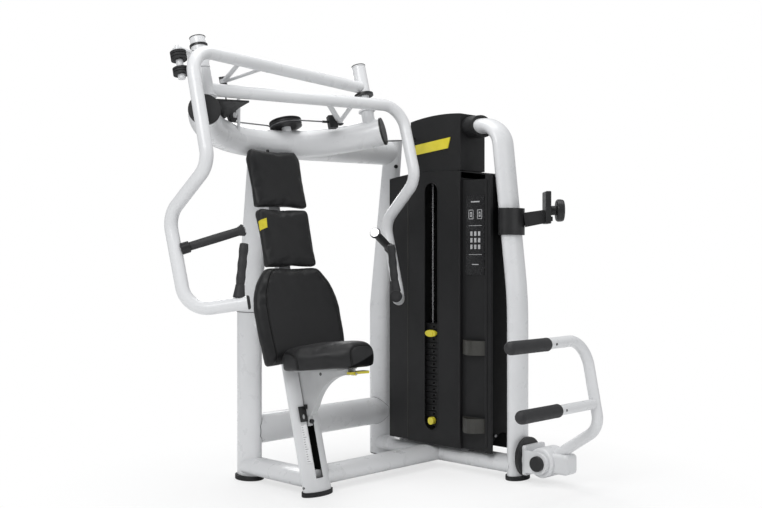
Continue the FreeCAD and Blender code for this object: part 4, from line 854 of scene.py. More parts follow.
    def stuff(self, thing: Thing) -> None:
        """Swells the cover with a cloth simulation and keeps each point within the swell limit.

        Args:
            thing: the cover, remeshed to even squares before the cloth is added.
        """
        scene = bpy.context.scene
        cloth = thing.modifiers.new("stuffing", "CLOTH")
        for key, value in STUFFING.items():
            setattr(cloth.settings, key, value)
        cloth.settings.effector_weights.gravity = 0.0
        cloth.point_cache.frame_start = 1
        cloth.point_cache.frame_end = STUFFING_FRAMES
        before = read_points(thing.data)
        for number in range(1, STUFFING_FRAMES + 1):
            scene.frame_set(number)
        swollen = bpy.data.meshes.new_from_object(thing.evaluated_get(bpy.context.evaluated_depsgraph_get()))
        move = read_points(swollen) - before
        bpy.data.meshes.remove(swollen)
        thing.modifiers.remove(cloth)
        scene.frame_set(1)
        length = np.linalg.norm(move, axis=1)
        scale = np.where(length > self.swell, self.swell / np.maximum(length, 1e-9), 1.0)
        points = before + move * scale[:, None]
        behind = np.asarray(self.behind)
        depth = (points - np.asarray(self.origin)) @ behind
        write_points(thing.data, points - np.maximum(depth - self.thickness, 0.0)[:, None] * behind)

    def sew(self, thing: Thing) -> list:
        """Presses the seams into the cover and lays a thread welt along them.

        A point sinks along its normal by depth x exp(-(distance / width) squared), where distance is
        to the nearest point of the seam. The mesh attribute seam_shade, painted shade in the seam grooves,
        is the same curve with its own width and a height of 1, or the cushion's painted shade where that is more.

        Args:
            thing: the stuffed cover.

        Returns:
            The welts.
        """
        mesh = thing.data
        count = len(mesh.vertices)
        points = read_points(mesh)
        normals = np.empty(count * 3)
        mesh.vertex_normals.foreach_get("vector", normals)
        normals = normals.reshape(-1, 3)
        tree = BVHTree.FromPolygons(points.tolist(), [list(face.vertices) for face in mesh.polygons])
        lines = []
        for seam in self.seams:
            rough = self.smooth_line(np.array(seam, dtype=float))
            targets = self.place(rough[:, 0], rough[:, 1], rough[:, 2])
            lines.append(np.array([tree.find_nearest(Vector(target))[0] for target in targets]))
        dark = np.zeros(count)
        for line in lines:
            near = np.full(count, 1.0)
            for chunk in np.array_split(np.arange(count), max(1, count // 8000)):
                near[chunk] = np.linalg.norm(points[chunk][:, None, :] - line[None, :, :], axis=2).min(axis=1)
            sink = self.seam_depth * np.exp(-(near / self.seam_width) ** 2)
            points = points - normals * sink[:, None]
            dark = np.maximum(dark, np.exp(-(near / self.shade_width) ** 2))
        # The cushion's own painted shade, such as the black under the seat's nose, joins seam_shade.
        if self.painted_shade is not None:
            dark = np.maximum(dark, self.painted_shade(*self.local(thing)[0].T))
        write_points(mesh, points)
        shade = mesh.attributes.new("seam_shade", "FLOAT", "POINT")
        shade.data.foreach_set("value", dark.astype(np.float32))
        mesh.update()
        welts = []
        for number, line in enumerate(lines):
            inward = np.asarray(self.place(0.0, float(np.mean([c[1] for c in self.corners])), self.thickness / 2))
            sunk = line + unit(inward - line) * self.welt
            welts.append(tube("%s_seam_%d" % (self.name, number + 1), sunk, self.welt, 8, (0.41, 0.2, 0.89)))
        return welts

    @staticmethod
    def smooth_line(points: Array, step: float = 0.0025) -> Array:
        """Even points on a Catmull-Rom curve through the given ones.

        Between points b and c the curve is half of (2b + (c - a) t + (2a - 5b + 4c - d) t squared +
        (3b - a - 3c + d) t cubed), where a and d are the neighbours on each side.
        """
        padded = np.vstack([2 * points[0] - points[1], points, 2 * points[-1] - points[-2]])
        a, b, c, d = padded[:-3], padded[1:-2], padded[2:-1], padded[3:]
        t = np.linspace(0.0, 1.0, 24, endpoint=False)[None, :, None]
        a, b, c, d = (k[:, None, :] for k in (a, b, c, d))
        curve = 0.5 * (2 * b + (c - a) * t + (2 * a - 5 * b + 4 * c - d) * t ** 2 + (3 * b - a - 3 * c + d) * t ** 3)
        curve = np.vstack([curve.reshape(-1, points.shape[1]), points[-1:]])
        walk = np.concatenate([[0.0], np.cumsum(np.linalg.norm(np.diff(curve, axis=0), axis=1))])
        at = np.linspace(0.0, walk[-1], max(8, int(walk[-1] / step)))
        return np.stack([np.interp(at, walk, curve[:, k]) for k in range(points.shape[1])], axis=1)

    def build(self, machine: Machine) -> Thing:
        """Makes, stuffs and sews the cushion.

        Args:
            machine: frame and palette.

        Returns:
            The finished cushion.
        """
        thing = self.start()
        low, high = self.span(thing)
        bpy.context.view_layer.objects.active = thing
        remesh = thing.modifiers.new("even_squares", "REMESH")
        remesh.mode = "VOXEL"
        remesh.voxel_size = self.voxel * 1.0
        apply_modifiers(thing)
        self.stuff(thing)
        even = thing.modifiers.new("even", "SMOOTH")
        even.factor = 0.5
        even.iterations = self.evening
        subdivide = thing.modifiers.new("finer", "SUBSURF")
        subdivide.levels = subdivide.render_levels = 1
        apply_modifiers(thing)
        self.fit(thing, low, high)
        welts = self.sew(thing)
        thing.data.shade_smooth()
        machine.add(thing, "leather", self.body, Slot.BLACK_UPHOLSTERY, (self.node,))
        for welt in welts:
            machine.add(welt, "thread", self.body, Slot.BLACK_UPHOLSTERY)
        return thing


def apply_modifiers(thing: Thing) -> None:
    """Turns a piece's live modifiers into plain mesh."""
    graph = bpy.context.evaluated_depsgraph_get()
    mesh = bpy.data.meshes.new_from_object(thing.evaluated_get(graph))
    old = thing.data
    thing.modifiers.clear()
    thing.data = mesh
    mesh.name = thing.name
    bpy.data.meshes.remove(old)


@dataclass
class Upholstery:
    """Headrest, middle pad, lower back pad and seat."""

    seat_thickness: float = 0.074
    seat_front: float = 0.236
    # Where and how strongly the lower end of the seat's nose is painted black as shade.
    painted_shade_from: float = 0.214
    painted_shade_below: float = 0.036
    painted_shade_slope: float = 0.35
    painted_shade_share: float = 0.9

    def seat_face(self, x: Array, s: Array) -> Array:
        """Extra height of the seat: a soft ridge from front to back and a lift toward the nose."""
        return 0.006 * np.exp(-(x / 0.07) ** 2) + 0.004 * np.clip(s / self.seat_front, 0, 1)

    def seat_painted_shade(self, x: Array, s: Array, depth: Array) -> Array:
        """Share of black painted as shade on the nose's end: full on its lower part, below a slanting line, else 0.
        """
        ahead = np.clip((s - self.painted_shade_from) / 0.006, 0.0, 1.0)
        line = self.painted_shade_below + self.painted_shade_slope * (0.03 - x)
        below = np.clip((depth - line) / 0.005, 0.0, 1.0)
        return self.painted_shade_share * ahead * below

    def cushions(self) -> list:
        """The four cushions with their sizes."""
        back = dict(origin=PAD_ORIGIN, along=tuple(UP), behind=tuple(-FORWARD), body=Body.FRAME)
        seat_up = np.array([0.0, math.sin(SEAT_RISE), math.cos(SEAT_RISE)])
        seat_forward = np.array([0.0, -math.cos(SEAT_RISE), math.sin(SEAT_RISE)])
        seat_origin = np.array([0.0, 0.014, 0.421]) + seat_up * self.seat_thickness
        edge_line = [(0.088, 0.262, 0.001), (0.106, 0.250, 0.003), (0.128, 0.215, 0.003), (0.146, 0.170, 0.003),
                     (0.152, 0.125, 0.003), (0.152, 0.05, 0.003), (0.144, -0.053, 0.003)]
        lower_seams = both_sides(edge_line)
        flank = [(0.143, 0.008, 0.014), (0.147, 0.035, 0.012), (0.149, 0.062, 0.020), (0.150, 0.082, 0.036),
                 (0.150, 0.088, 0.068)]
        nose = [(0.046, 0.232, 0.066), (0.049, 0.230, 0.040), (0.044, 0.228, 0.018), (0.024, 0.226, 0.006),
                (0.0, 0.226, 0.003)]
        nose_line = nose + [(-x, s, d) for x, s, d in reversed(nose[:-1])]
        seat_seams = (*both_sides(flank), tuple(nose_line))
        return [
            Cushion("headrest_cushion", "headrest_pad", corners=((0.110, 0.486), (0.112, 0.655), (0.097, 0.686)),
                    thickness=0.036, edge=0.013, crown=0.003, voxel=0.0045, **back),
            Cushion("middle_back_cushion", "middle_back_pad",
                    corners=((0.107, 0.276), (0.109, 0.458), (0.101, 0.473)), thickness=0.040, edge=0.013,
                    crown=0.003, voxel=0.0045, **back),
            Cushion("lower_back_cushion", "lower_back_pad",
                    corners=((0.172, -0.056), (0.180, 0.050), (0.181, 0.130), (0.172, 0.175), (0.154, 0.215),
                             (0.129, 0.246), (0.108, 0.266)), thickness=0.044, edge=0.024, back_edge=0.007,
                    crown=0.004, corner=0.02, seams=lower_seams, **back),
            # The seat passes in its painted shade for the lower end of the nose.
            Cushion("seat_cushion", "seat_pad", Body.SEAT,
                    ((0.134, 0.0), (0.146, 0.016), (0.150, 0.084), (0.098, 0.166), (0.058, 0.222), (0.044, 0.236)),
                    self.seat_thickness, tuple(seat_origin), tuple(seat_forward), tuple(-seat_up), edge=0.034,
                    back_edge=0.006, crown=0.004, corner=0.016, face=self.seat_face, seams=seat_seams,
                    seam_depth=0.0028, seam_width=0.003, painted_shade=self.seat_painted_shade),
        ]

    def build(self, machine: Machine) -> None:
        """Makes every cushion and the small yellow tag on the middle pad."""
        made = {cushion.name: cushion.build(machine) for cushion in self.cushions()}
        self.tag(machine, made["middle_back_cushion"])
        self.lug(machine)

    def tag(self, machine: Machine, pad: Thing) -> None:
        """A folded cloth tag round the middle pad's edge, wrapped on the finished cushion.

        It is a grid over the pad's side and front, each point taken to the nearest place of the
        cushion and lifted off it by 0.6 mm.
        """
        rows = np.linspace(0.399, 0.433, 13)
        around = np.linspace(-0.35, 1.0, 17)
        s, turn = np.meshgrid(rows, around, indexing="ij")
        s = s + 0.006 * turn
        x = -0.116 + 0.022 * np.clip(turn, 0.0, 1.0) + 0.10 * (s - 0.416)
        depth = np.where(turn < 0, 0.012 - 0.020 * turn, 0.012 - 0.016 * turn)
        points = (np.asarray(PAD_ORIGIN) + x[..., None] * SIDE + s[..., None] * UP - depth[..., None] * FORWARD)
        patch = make_object("middle_pad_tag", points, grid_faces(13, 17, False), 180.0)
        wrap = patch.modifiers.new("wrap", "SHRINKWRAP")
        wrap.target = pad
        wrap.offset = 0.0006
        thick = patch.modifiers.new("thick", "SOLIDIFY")
        thick.thickness = 0.0007
        thick.offset = 1.0
        apply_modifiers(patch)
        patch.data.shade_smooth()
        machine.add(patch, "tag", Body.FRAME, Slot.YELLOW_PLASTIC)

    def lug(self, machine: Machine) -> None:
        """Small dark button on the headrest's top edge."""
        stations = [0.0, 0.004, 0.0075, 0.0095, 0.010]
        radii = [0.006, 0.0058, 0.0048, 0.0025, 0.0004]
        button = turned("headrest_button", pad_point(-0.022, 0.014, 0.683), UP, stations, radii, 20)
        machine.add(button, "plastic", Body.FRAME, Slot.BLACK_PLASTIC)


# ------------------------------------------------------------------ handles
@dataclass
class Handles:
    """Grips of the press levers and the foot lever, with collars and end caps."""

    lever_end: tuple = (0.332, -0.047, 0.653)
    lever_corner: tuple = (0.475, 0.068, 0.626)
    grip_out: tuple = (0.457, 0.102, 0.821)
    grip_in: tuple = (0.290, 0.018, 0.879)
    grip_top: tuple = (0.328, -0.026, 0.834)
    grip_low: tuple = (0.350, -0.028, 0.668)
    grip_radius: float = 0.0135

    def ribbed(self, name: str, start: Array, end: Array, flare: float) -> Thing:
        """Long sleeve with a soft barrel form and a flared, ribbed end stop.

        The radius is the grip's own + 0.6 mm x the square of a sine hump along it, then a cone to
        the flare with three shallow ribs.
        """
        axis = unit(end - start)
        length = float(np.linalg.norm(end - start))
        body = np.linspace(0.002, length - 0.024, 40)
        radius = self.grip_radius + 0.0006 * np.sin(math.pi * body / length) ** 2
        cone = np.linspace(length - 0.022, length - 0.005, 26)
        share = (cone - cone[0]) / (cone[-1] - cone[0])
        cone_radius = self.grip_radius + (flare - self.grip_radius) * share ** 1.4
        cone_radius = cone_radius + 0.0006 * np.cos(6.0 * math.pi * share)
        stations = np.concatenate([[0.0, 0.0], body, cone, [length - 0.002, length, length]])
        radii = np.concatenate([[0.0085, self.grip_radius - 0.001], radius, cone_radius,
                                [flare, flare - 0.0012, 0.0085]])
        return turned(name, start, axis, stations, radii)

    def upright(self, name: str, top: Array, low: Array) -> Thing:
        """Standing sleeve: waved upper part, collar line, then a cone that spreads to its foot.

        The radius waves by a cosine of three turns over the finger part.
        """
        axis = unit(low - top)
        length = float(np.linalg.norm(low - top))
        collar = length - 0.040
        finger = np.linspace(0.003, collar - 0.003, 60)
        wave = self.grip_radius + 0.0003 - 0.0007 * np.cos(2.0 * math.pi * 3.0 * finger / collar)
        skirt = np.linspace(collar + 0.001, length - 0.002, 14)
        share = (skirt - skirt[0]) / (skirt[-1] - skirt[0])
        spread = self.grip_radius + 0.0008 + (0.0190 - self.grip_radius - 0.0008) * share ** 1.2
        top_dome = [0.0, 0.0002, 0.0009, 0.0020]
        top_radii = [0.0004, self.grip_radius - 0.0045, self.grip_radius - 0.0020, self.grip_radius - 0.0006]
        stations = np.concatenate([top_dome, finger, [collar - 0.001, collar], skirt, [length, length]])
        radii = np.concatenate([top_radii, wave,
                                [self.grip_radius - 0.0008, self.grip_radius - 0.0008], spread, [0.0182, 0.0085]])
        return turned(name, top, axis, stations, radii)

    def end_cap(self, name: str, end: Array, corner: Array) -> Thing:
        """Domed plug in the lever's open end, with a shallow ring groove."""
        axis = unit(end - corner)
        stations = [0.0, 0.0, 0.004, 0.0065, 0.0083, 0.0088, 0.0080, 0.0080, 0.0090, 0.0090]
        radii = [0.010, 0.0219, 0.0219, 0.0208, 0.0185, 0.0165, 0.0155, 0.0145, 0.0135, 0.0004]
        return turned(name, end, axis, stations, radii)

    def press_side(self, machine: Machine, left: bool) -> None:
        """All handle pieces of one press lever."""
        side = "left" if left else "right"
        body = Body.LEFT_LEVER if left else Body.RIGHT_LEVER

        def at(point: Floats) -> Array:
            """The point on this lever's side."""
            return np.asarray(point) if left else mirrored(point)

        out, inner, top, low = (at(p) for p in (self.grip_out, self.grip_in, self.grip_top, self.grip_low))
        run = unit(inner - out)
        drop = unit(low - top)
        wide = self.ribbed(side + "_wide_grip_sleeve", out + run * 0.0145, inner - run * 0.004, 0.019)
        machine.add(wide, "grip", body, Slot.BLACK_RUBBER, (side + "_wide_grip",))
        stations = [-0.014, -0.014, -0.0125, -0.004, 0.004, 0.0125, 0.014, 0.014]
        radii = [0.0085, 0.0172, 0.0185, 0.0185, 0.0185, 0.0185, 0.0172, 0.0085]
        machine.add(turned(side + "_grip_collar", out, run, stations, radii), "plastic", body, Slot.BLACK_RUBBER)
        tall = self.upright(side + "_upright_grip_sleeve", top - drop * 0.0012, low)
        machine.add(tall, "grip", body, Slot.BLACK_RUBBER, (side + "_upright_grip",))
        cap = self.end_cap(side + "_lever_end_cap", at(self.lever_end), at(self.lever_corner))
        machine.add(cap, "rubber", body, Slot.BLACK_RUBBER)

    def foot_sleeves(self, machine: Machine) -> None:
        """Two thick sleeves on the foot bars: round outer end, a lip at the inner end and fine rings."""
        places = ((-0.598, 0.508, ("foot_lever_grips",)), (-0.640, 0.297, ()))
        for number, (y, z, replaced) in enumerate(places):
            body = np.linspace(0.012, 0.186, 120)
            rings = 0.0218 + 0.00035 * np.cos(2.0 * math.pi * body / 0.0055)
            dome = np.linspace(0.0, math.pi / 2.0, 12)
            start = 0.012 - 0.0215 * np.cos(dome)
            round_end = np.maximum(0.0218 * np.sin(dome), 0.0004)
            lip = [0.188, 0.194, 0.203, 0.206, 0.206]
            lip_radii = [0.0219, 0.0224, 0.0224, 0.0212, 0.0175]
            stations = np.concatenate([start, body[1:], lip])
            radii = np.concatenate([round_end, rings[1:], lip_radii])
            sleeve = turned("foot_sleeve_%d" % (number + 1), np.array([0.258, y, z]), SIDE, stations, radii)
            machine.add(sleeve, "grip", Body.FOOT_ARM, Slot.BLACK_RUBBER, replaced)

    def build(self, machine: Machine) -> None:
        """Makes the handles of both press levers and the foot lever."""
        self.press_side(machine, True)
        self.press_side(machine, False)
        self.foot_sleeves(machine)


# ------------------------------------------------------------------ cables
@dataclass
class CableRuns:
    """Steel cables from the levers over the guide pulley and the drum, and down to the stack."""

    radius: float = 0.0025
    drum: tuple = (0.100, 0.058, 1.296)
    drum_radius: float = 0.0553
    guide_corner: tuple = (-0.182, 0.094, 1.2676)
    guide_radius: float = 0.0223
    apex: tuple = (0.252, 0.179)
    apex_heights: tuple = (1.367, 1.276)
    stud: float = 0.036
    lift: float = 0.35
    half_gap: float = 0.006
    high_turn: tuple = (250.0, 370.0)
    low_turn: tuple = (110.0, 230.0)
    stack_top: tuple = (0.670, 0.023, 1.243)
    stack_low: float = 0.5595

    def stud_end(self, apex: Array, toward: Array) -> Array:
        """Far end of a clevis stud that points along its cable."""
        flat = toward - apex
        flat = unit(flat - UP * float(flat @ UP))
        start = apex + flat * 0.030 + UP * 0.001
        return start + unit(toward - start) * self.stud

    def lay(self, machine: Machine, name: str, path: Array, reference: Floats = (0, 0, 1),
            body: Optional[Body] = Body.FRAME, finish: str = "cable", replaces: Sequence[str] = ()) -> Thing:
        """One cable piece along a path.

        Args:
            machine: frame and palette.
            name: object name.
            path: (n, 3) middle line.
            reference: a direction that the path never runs along.
            body: body that it moves with, or None for a piece that rides on no body.
            finish: palette key.
            replaces: CAD nodes that it stands for.

        Returns:
            The piece.
        """
        piece = tube(name, path, self.radius, 12, reference)
        return machine.add(piece, finish, body, Slot.POLISHED_STEEL, replaces)

    def on_drum(self, degrees: Array, w: float) -> Array:
        """Points on the drum's cable circle: centre + radius x (cos a sideways + sin a forward)."""
        a = np.radians(degrees)
        u = self.drum[0] + self.drum_radius * np.cos(a)
        v = self.drum[1] + self.drum_radius * np.sin(a)
        return u[:, None] * SIDE + v[:, None] * FORWARD + w * UP

    def approach(self, degrees: float, w: float) -> Array:
        """Point on the straight cable just before it meets the drum at that angle."""
        a = math.radians(degrees)
        u = self.drum[0] + self.drum_radius * math.cos(a) + 0.034 * math.sin(a)
        v = self.drum[1] + self.drum_radius * math.sin(a) - 0.034 * math.cos(a)
        return tilted(u, v, w)

    def build(self, machine: Machine) -> None:
        """Makes the six cable pieces.

        The runs between a pulley and a lever ride on no body and stay where they are made, and the run
        down to the stack rides on the frame with a mesh of its own.
        """
        high_w, low_w = self.drum[2] + self.half_gap, self.drum[2] - self.half_gap
        corner = tilted(*self.guide_corner)
        high_start = self.stud_end(tilted(-self.apex[0], self.apex[1], self.apex_heights[0]), corner)
        high_meet = self.approach(self.high_turn[0], high_w)
        wrap = self.on_drum(np.linspace(*self.high_turn, 40), high_w)
        path = rounded_path(np.array([high_start, corner, high_meet, wrap[0]]), [self.guide_radius, 0.06])
        split = int(np.argmin(np.linalg.norm(path - corner, axis=1))) - 6
        free = self.lay(machine, "upper_lever_cable_run", path[:split + 1], body=None, replaces=("steel_cables",))
        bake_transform(free)
        self.lay(machine, "upper_cable_wrap", np.vstack([path[split:-1], wrap]), (0.1, 0.3, 0.95))
        low_meet = self.approach(self.low_turn[0], low_w)
        low_start = self.stud_end(tilted(self.apex[0], self.apex[1], self.apex_heights[1]), low_meet)
        share = np.linspace(0.0, 1.0, 16)[:, None]
        free = self.lay(machine, "lower_lever_cable_run", low_start + share * (low_meet - low_start), body=None)
        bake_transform(free)
        wrap = self.on_drum(np.linspace(*self.low_turn, 40), low_w)
        self.lay(machine, "lower_cable_wrap", np.vstack([low_meet[None, :], wrap]), (0.1, 0.3, 0.95))
        top = np.array(self.stack_top)
        corners = np.array([[0.410, 0.094, 1.217], [0.655, 0.1122, 1.243], top, top - [0, 0, 0.06]])
        self.lay(machine, "stack_cable_over_pulleys", rounded_path(corners, [0.0163, 0.0323]), (0.7, 0.3, -0.4))
        drop = np.linspace(top[2] - 0.058, self.stack_low, 60)
        path = np.stack([np.full(60, top[0]), np.full(60, top[1]), drop], axis=1)
        down = self.lay(machine, "stack_cable_drop", path, (1, 0, 0), finish="dark_cable")
        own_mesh(down)


# ------------------------------------------------------------------ frame details
@dataclass
class FrameDetails:
    """Weld beads and the column joint's ring, darkened as painted shade, the posts' rims, screws and the seat scale.
    """

    cross_z: float = 0.175
    cross_radius: float = 0.053
    cross_y: float = 0.355
    post_foot: float = 0.016
    post_half_x: float = 0.0597
    post_half_y: float = 0.0254
    rim_place: tuple = (0.361, 0.220)
    rim_radius: float = 0.0243
    rim_bead: float = 0.0019

    def weld_on_column(self, name: str, column_y: float, half_deep: float, half_wide: float, x: float,
                       toward: float) -> Thing:
        """Weld bead where the round cross tube meets an oval column.

        For an angle a round the tube, y and z are the tube's circle, and x is the column's half
        width x the square root of 1 - (offset / half depth) squared. The bead's radius ripples.
        """
        a = np.linspace(0.0, 2.0 * math.pi, 180, endpoint=False)
        y = self.cross_y + self.cross_radius * np.cos(a)
        z = self.cross_z + self.cross_radius * np.sin(a)
        share = np.clip(1.0 - ((y - column_y) / half_deep) ** 2, 0.02, 1.0)
        path = np.stack([x + toward * half_wide * np.sqrt(share), y, z], axis=1)
        return tube(name, path, 0.0013 + 0.0002 * np.cos(60 * a), 10, (1.0, 0.02, 0.03), True)

    def flat_ring(self, name: str, centre: Array, half_x: float, half_y: float, radius: float) -> Thing:
        """Thin level ring round an oval tube."""
        a = np.linspace(0.0, 2.0 * math.pi, 120, endpoint=False)
        path = np.asarray(centre) + np.stack([half_x * np.cos(a), half_y * np.sin(a), np.zeros_like(a)], axis=1)
        return tube(name, path, radius, 8, (0, 0, 1), True)

    def post_rim(self, name: str, side: float, w: float) -> Thing:
        """Bead round a leaning post, level with the post's own cross plane at height w."""
        a = np.linspace(0.0, 2.0 * math.pi, 96, endpoint=False)
        path = np.array([tilted(side * self.rim_place[0] + self.rim_radius * math.cos(t),
                                self.rim_place[1] + self.rim_radius * math.sin(t), w) for t in a])
        return tube(name, path, self.rim_bead, 8, tuple(UP), True)

    def screw(self, name: str, head: Array, axis: Array, radius: float) -> Thing:
        """Socket screw: domed rim and a sunk hexagon-like cup."""
        stations = [-0.004, 0.0, 0.0012, 0.0018, 0.0018, -0.0006, -0.0006]
        radii = [radius, radius, radius * 0.92, radius * 0.72, radius * 0.5, radius * 0.46, radius * 0.02]
        return turned(name, head, axis, stations, radii, 24)

    def on_post(self, x: Array, z: Array, proud: float) -> Array:
        """Points on the seat post's front: y = axis y - half y x the root of 1 - (x / half x) squared."""
        lean = (z - self.post_foot) * math.tan(LEAN)
        front = self.post_half_y * np.sqrt(1.0 - (x / self.post_half_x) ** 2)
        return np.stack([x, lean - front - proud, z], axis=-1)

    def scale_strip(self) -> Thing:
        """White strip bent round the seat post's front, left of its slot."""
        zz, xx = np.meshgrid(np.linspace(0.108, 0.236, 24), np.linspace(-0.040, -0.0185, 10), indexing="ij")
        strip = make_object("seat_scale_strip", self.on_post(xx, zz, 0.0002), grid_faces(24, 10, False), 180.0)
        thick = strip.modifiers.new("thick", "SOLIDIFY")
        thick.thickness = 0.0005
        apply_modifiers(strip)
        return strip

    def scale_marks(self) -> Thing:
        """Short tick bars on the strip's left, each fifth one longer."""
        points, faces = [], []
        left, lowest, pitch, high = -0.0385, 0.114, 0.0078, 0.0011
        for k in range(16):
            z = lowest + k * pitch
            wide = 0.011 if k % 5 == 0 else 0.006
            zz, xx = np.meshgrid(np.array([z, z + high]), np.linspace(left, left + wide, 6), indexing="ij")
            points.append(self.on_post(xx, zz, 0.0010).reshape(-1, 3))
            faces.extend((np.array(grid_faces(2, 6, False)) + k * 12).tolist())
        return make_object("seat_scale_ticks", np.concatenate(points), faces, 180.0)

    def build(self, machine: Machine) -> None:
        """Makes the frame's details."""
        # The weld beads are grey: painted shade in the joints of the cross tube and the columns.
        for name, column_y, half_deep, x, toward in (("cross_tube_weld_left", 0.360, 0.055, 0.0, 1.0),
                                                     ("cross_tube_weld_right", 0.354, 0.049, 0.665, -1.0)):
            bead = self.weld_on_column(name, column_y, half_deep, 0.035, x, toward)
            machine.add(bead, "weld_painted_shade", Body.FRAME, Slot.WHITE_PAINT)
        # The dark ring at the rear column's weld is painted shade.
        joint = self.flat_ring("rear_column_joint", np.array([0, 0.360, 0.596]), 0.0358, 0.0558, 0.0012)
        machine.add(joint, "seam", Body.FRAME, Slot.WHITE_PAINT)
        for name, side, height in (("left_post_rim", -1.0, 1.4865), ("right_post_rim", 1.0, 1.4895)):
            machine.add(self.post_rim(name, side, height), "plastic", Body.FRAME, Slot.WHITE_PAINT)
        machine.add(self.scale_strip(), "label", Body.FRAME, Slot.WHITE_PAINT)
        machine.add(self.scale_marks(), "seam", Body.FRAME, Slot.WHITE_PAINT)
        for name, head, axis, radius, body in (
                ("seat_post_screw", (-0.0590, 0.0015, 0.030), (-1.0, -0.1, 0.0), 0.004, Body.FRAME),
                ("seat_blade_screw", (-0.0115, -0.0285, 0.405), (-1.0, 0.0, 0.0), 0.005, Body.SEAT),
                ("foot_bar_screw_1", (0.492, -0.6165, 0.508), (-0.1, -1.0, 0.0), 0.0042, Body.FOOT_ARM),
                ("foot_bar_screw_2", (0.490, -0.6565, 0.297), (-0.1, -1.0, 0.0), 0.0042, Body.FOOT_ARM)):
            screw = self.screw(name, np.array(head), np.array(axis), radius)
            machine.add(screw, "dark_steel", body, Slot.POLISHED_STEEL)


# ------------------------------------------------------------------ tower details
@dataclass
class TowerDetails:
    """Slot rim, a lighter cover bead as a painted highlight, instruction plate marks and a cover screw of the weight
    tower.
    """

    face_x: float = 0.598
    slot_y: float = 0.023
    slot_half: float = 0.033
    slot_low: float = 0.140
    slot_top: float = 1.070
    plate_x: float = 0.6076
    plate_y: float = -0.182
    mark_high: float = 0.0006

    def slot_rim(self) -> Thing:
        """Half-round rim along the slot: two straight runs joined by half circles."""
        a = np.linspace(0.0, math.pi, 28)
        top = np.stack([np.full(28, self.face_x), self.slot_y + self.slot_half * np.cos(a),
                        self.slot_top - self.slot_half + self.slot_half * np.sin(a)], axis=1)
        low = np.stack([np.full(28, self.face_x), self.slot_y - self.slot_half * np.cos(a),
                        self.slot_low + self.slot_half - self.slot_half * np.sin(a)], axis=1)
        left = np.linspace(top[-1], low[0], 60)[1:-1]
        right = np.linspace(low[-1], top[0], 60)[1:-1]
        return tube("selector_slot_rim", np.vstack([top, left, low, right]), 0.0016, 10, (1, 0, 0), True)

    def bead(self, name: str, y: float, low: float, high: float, radius: float) -> Thing:
        """Thin upright bead on the near cover."""
        z = np.linspace(low, high, 40)
        path = np.stack([np.full(40, self.face_x), np.full(40, y), z], axis=1)
        return tube(name, path, radius, 8, (1, 0, 0))

    def marks(self, name: str, boxes: Sequence[tuple]) -> Thing:
        """Raised print blocks on the plate, each from its middle, width and height."""
        points, faces = [], []
        box = np.array([[0, 1, 2, 3], [7, 6, 5, 4], [0, 4, 5, 1], [1, 5, 6, 2], [2, 6, 7, 3], [3, 7, 4, 0]])
        for k, (y, z, wide, high) in enumerate(boxes):
            corner = np.array([[-1, -1], [1, -1], [1, 1], [-1, 1]]) * np.array([wide, high]) / 2.0
            near = np.stack([np.full(4, self.plate_x), y + corner[:, 0], z + corner[:, 1]], axis=1)
            points.append(np.vstack([near, near + self.mark_high * SIDE]))
            faces.extend((box + 8 * k).tolist())
        return make_object(name, np.concatenate(points), faces, 10.0)

    def plate_marks(self, machine: Machine) -> None:
        """Generic light bars and frames on the instruction plate: no words and no figures."""
        y0 = self.plate_y
        light = [(y0, 0.992, 0.040, 0.0045), (y0, 0.764, 0.030, 0.003)]
        for y in (y0 - 0.020, y0 + 0.020):
            light += [(y, 0.962, 0.022, 0.0022), (y, 0.930, 0.022, 0.0022), (y - 0.010, 0.946, 0.0022, 0.032),
                      (y + 0.010, 0.946, 0.0022, 0.032), (y, 0.946, 0.008, 0.018)]
        light += [(y0, 0.905, 0.060, 0.0014), (y0, 0.800, 0.060, 0.0014)]
        light += [(y0 + dy, 0.852 + dz, 0.010, 0.016) for dy in (-0.018, 0.0, 0.018) for dz in (-0.024, 0.0, 0.024)]
        machine.add(self.marks("instruction_light_marks", light), "marks", Body.FRAME, Slot.DARK_PRINT)
        red = [(y0 - 0.020, 0.946, 0.004, 0.008), (y0 + 0.020, 0.946, 0.004, 0.008)]
        machine.add(self.marks("instruction_red_marks", red), "red_marks", Body.FRAME, Slot.DARK_PRINT)

    def build(self, machine: Machine) -> None:
        """Makes the tower's details."""
        machine.add(self.slot_rim(), "shroud", Body.FRAME, Slot.CHARCOAL_SHROUD)
        # Lighter plastic than the cover along the panel seam: a painted highlight of the panel's edge.
        bead = self.bead("cover_seam_bead", 0.1415, 0.100, 1.085, 0.0014)
        machine.add(bead, "clip", Body.FRAME, Slot.CHARCOAL_SHROUD)
        self.plate_marks(machine)
        head, axis = np.array([0.622, -0.2645, 0.150]), np.array([0.0, -1.0, 0.0])
        screw = FrameDetails().screw("front_cover_screw", head, axis, 0.0055)
        machine.add(screw, "steel", Body.FRAME, Slot.POLISHED_STEEL)


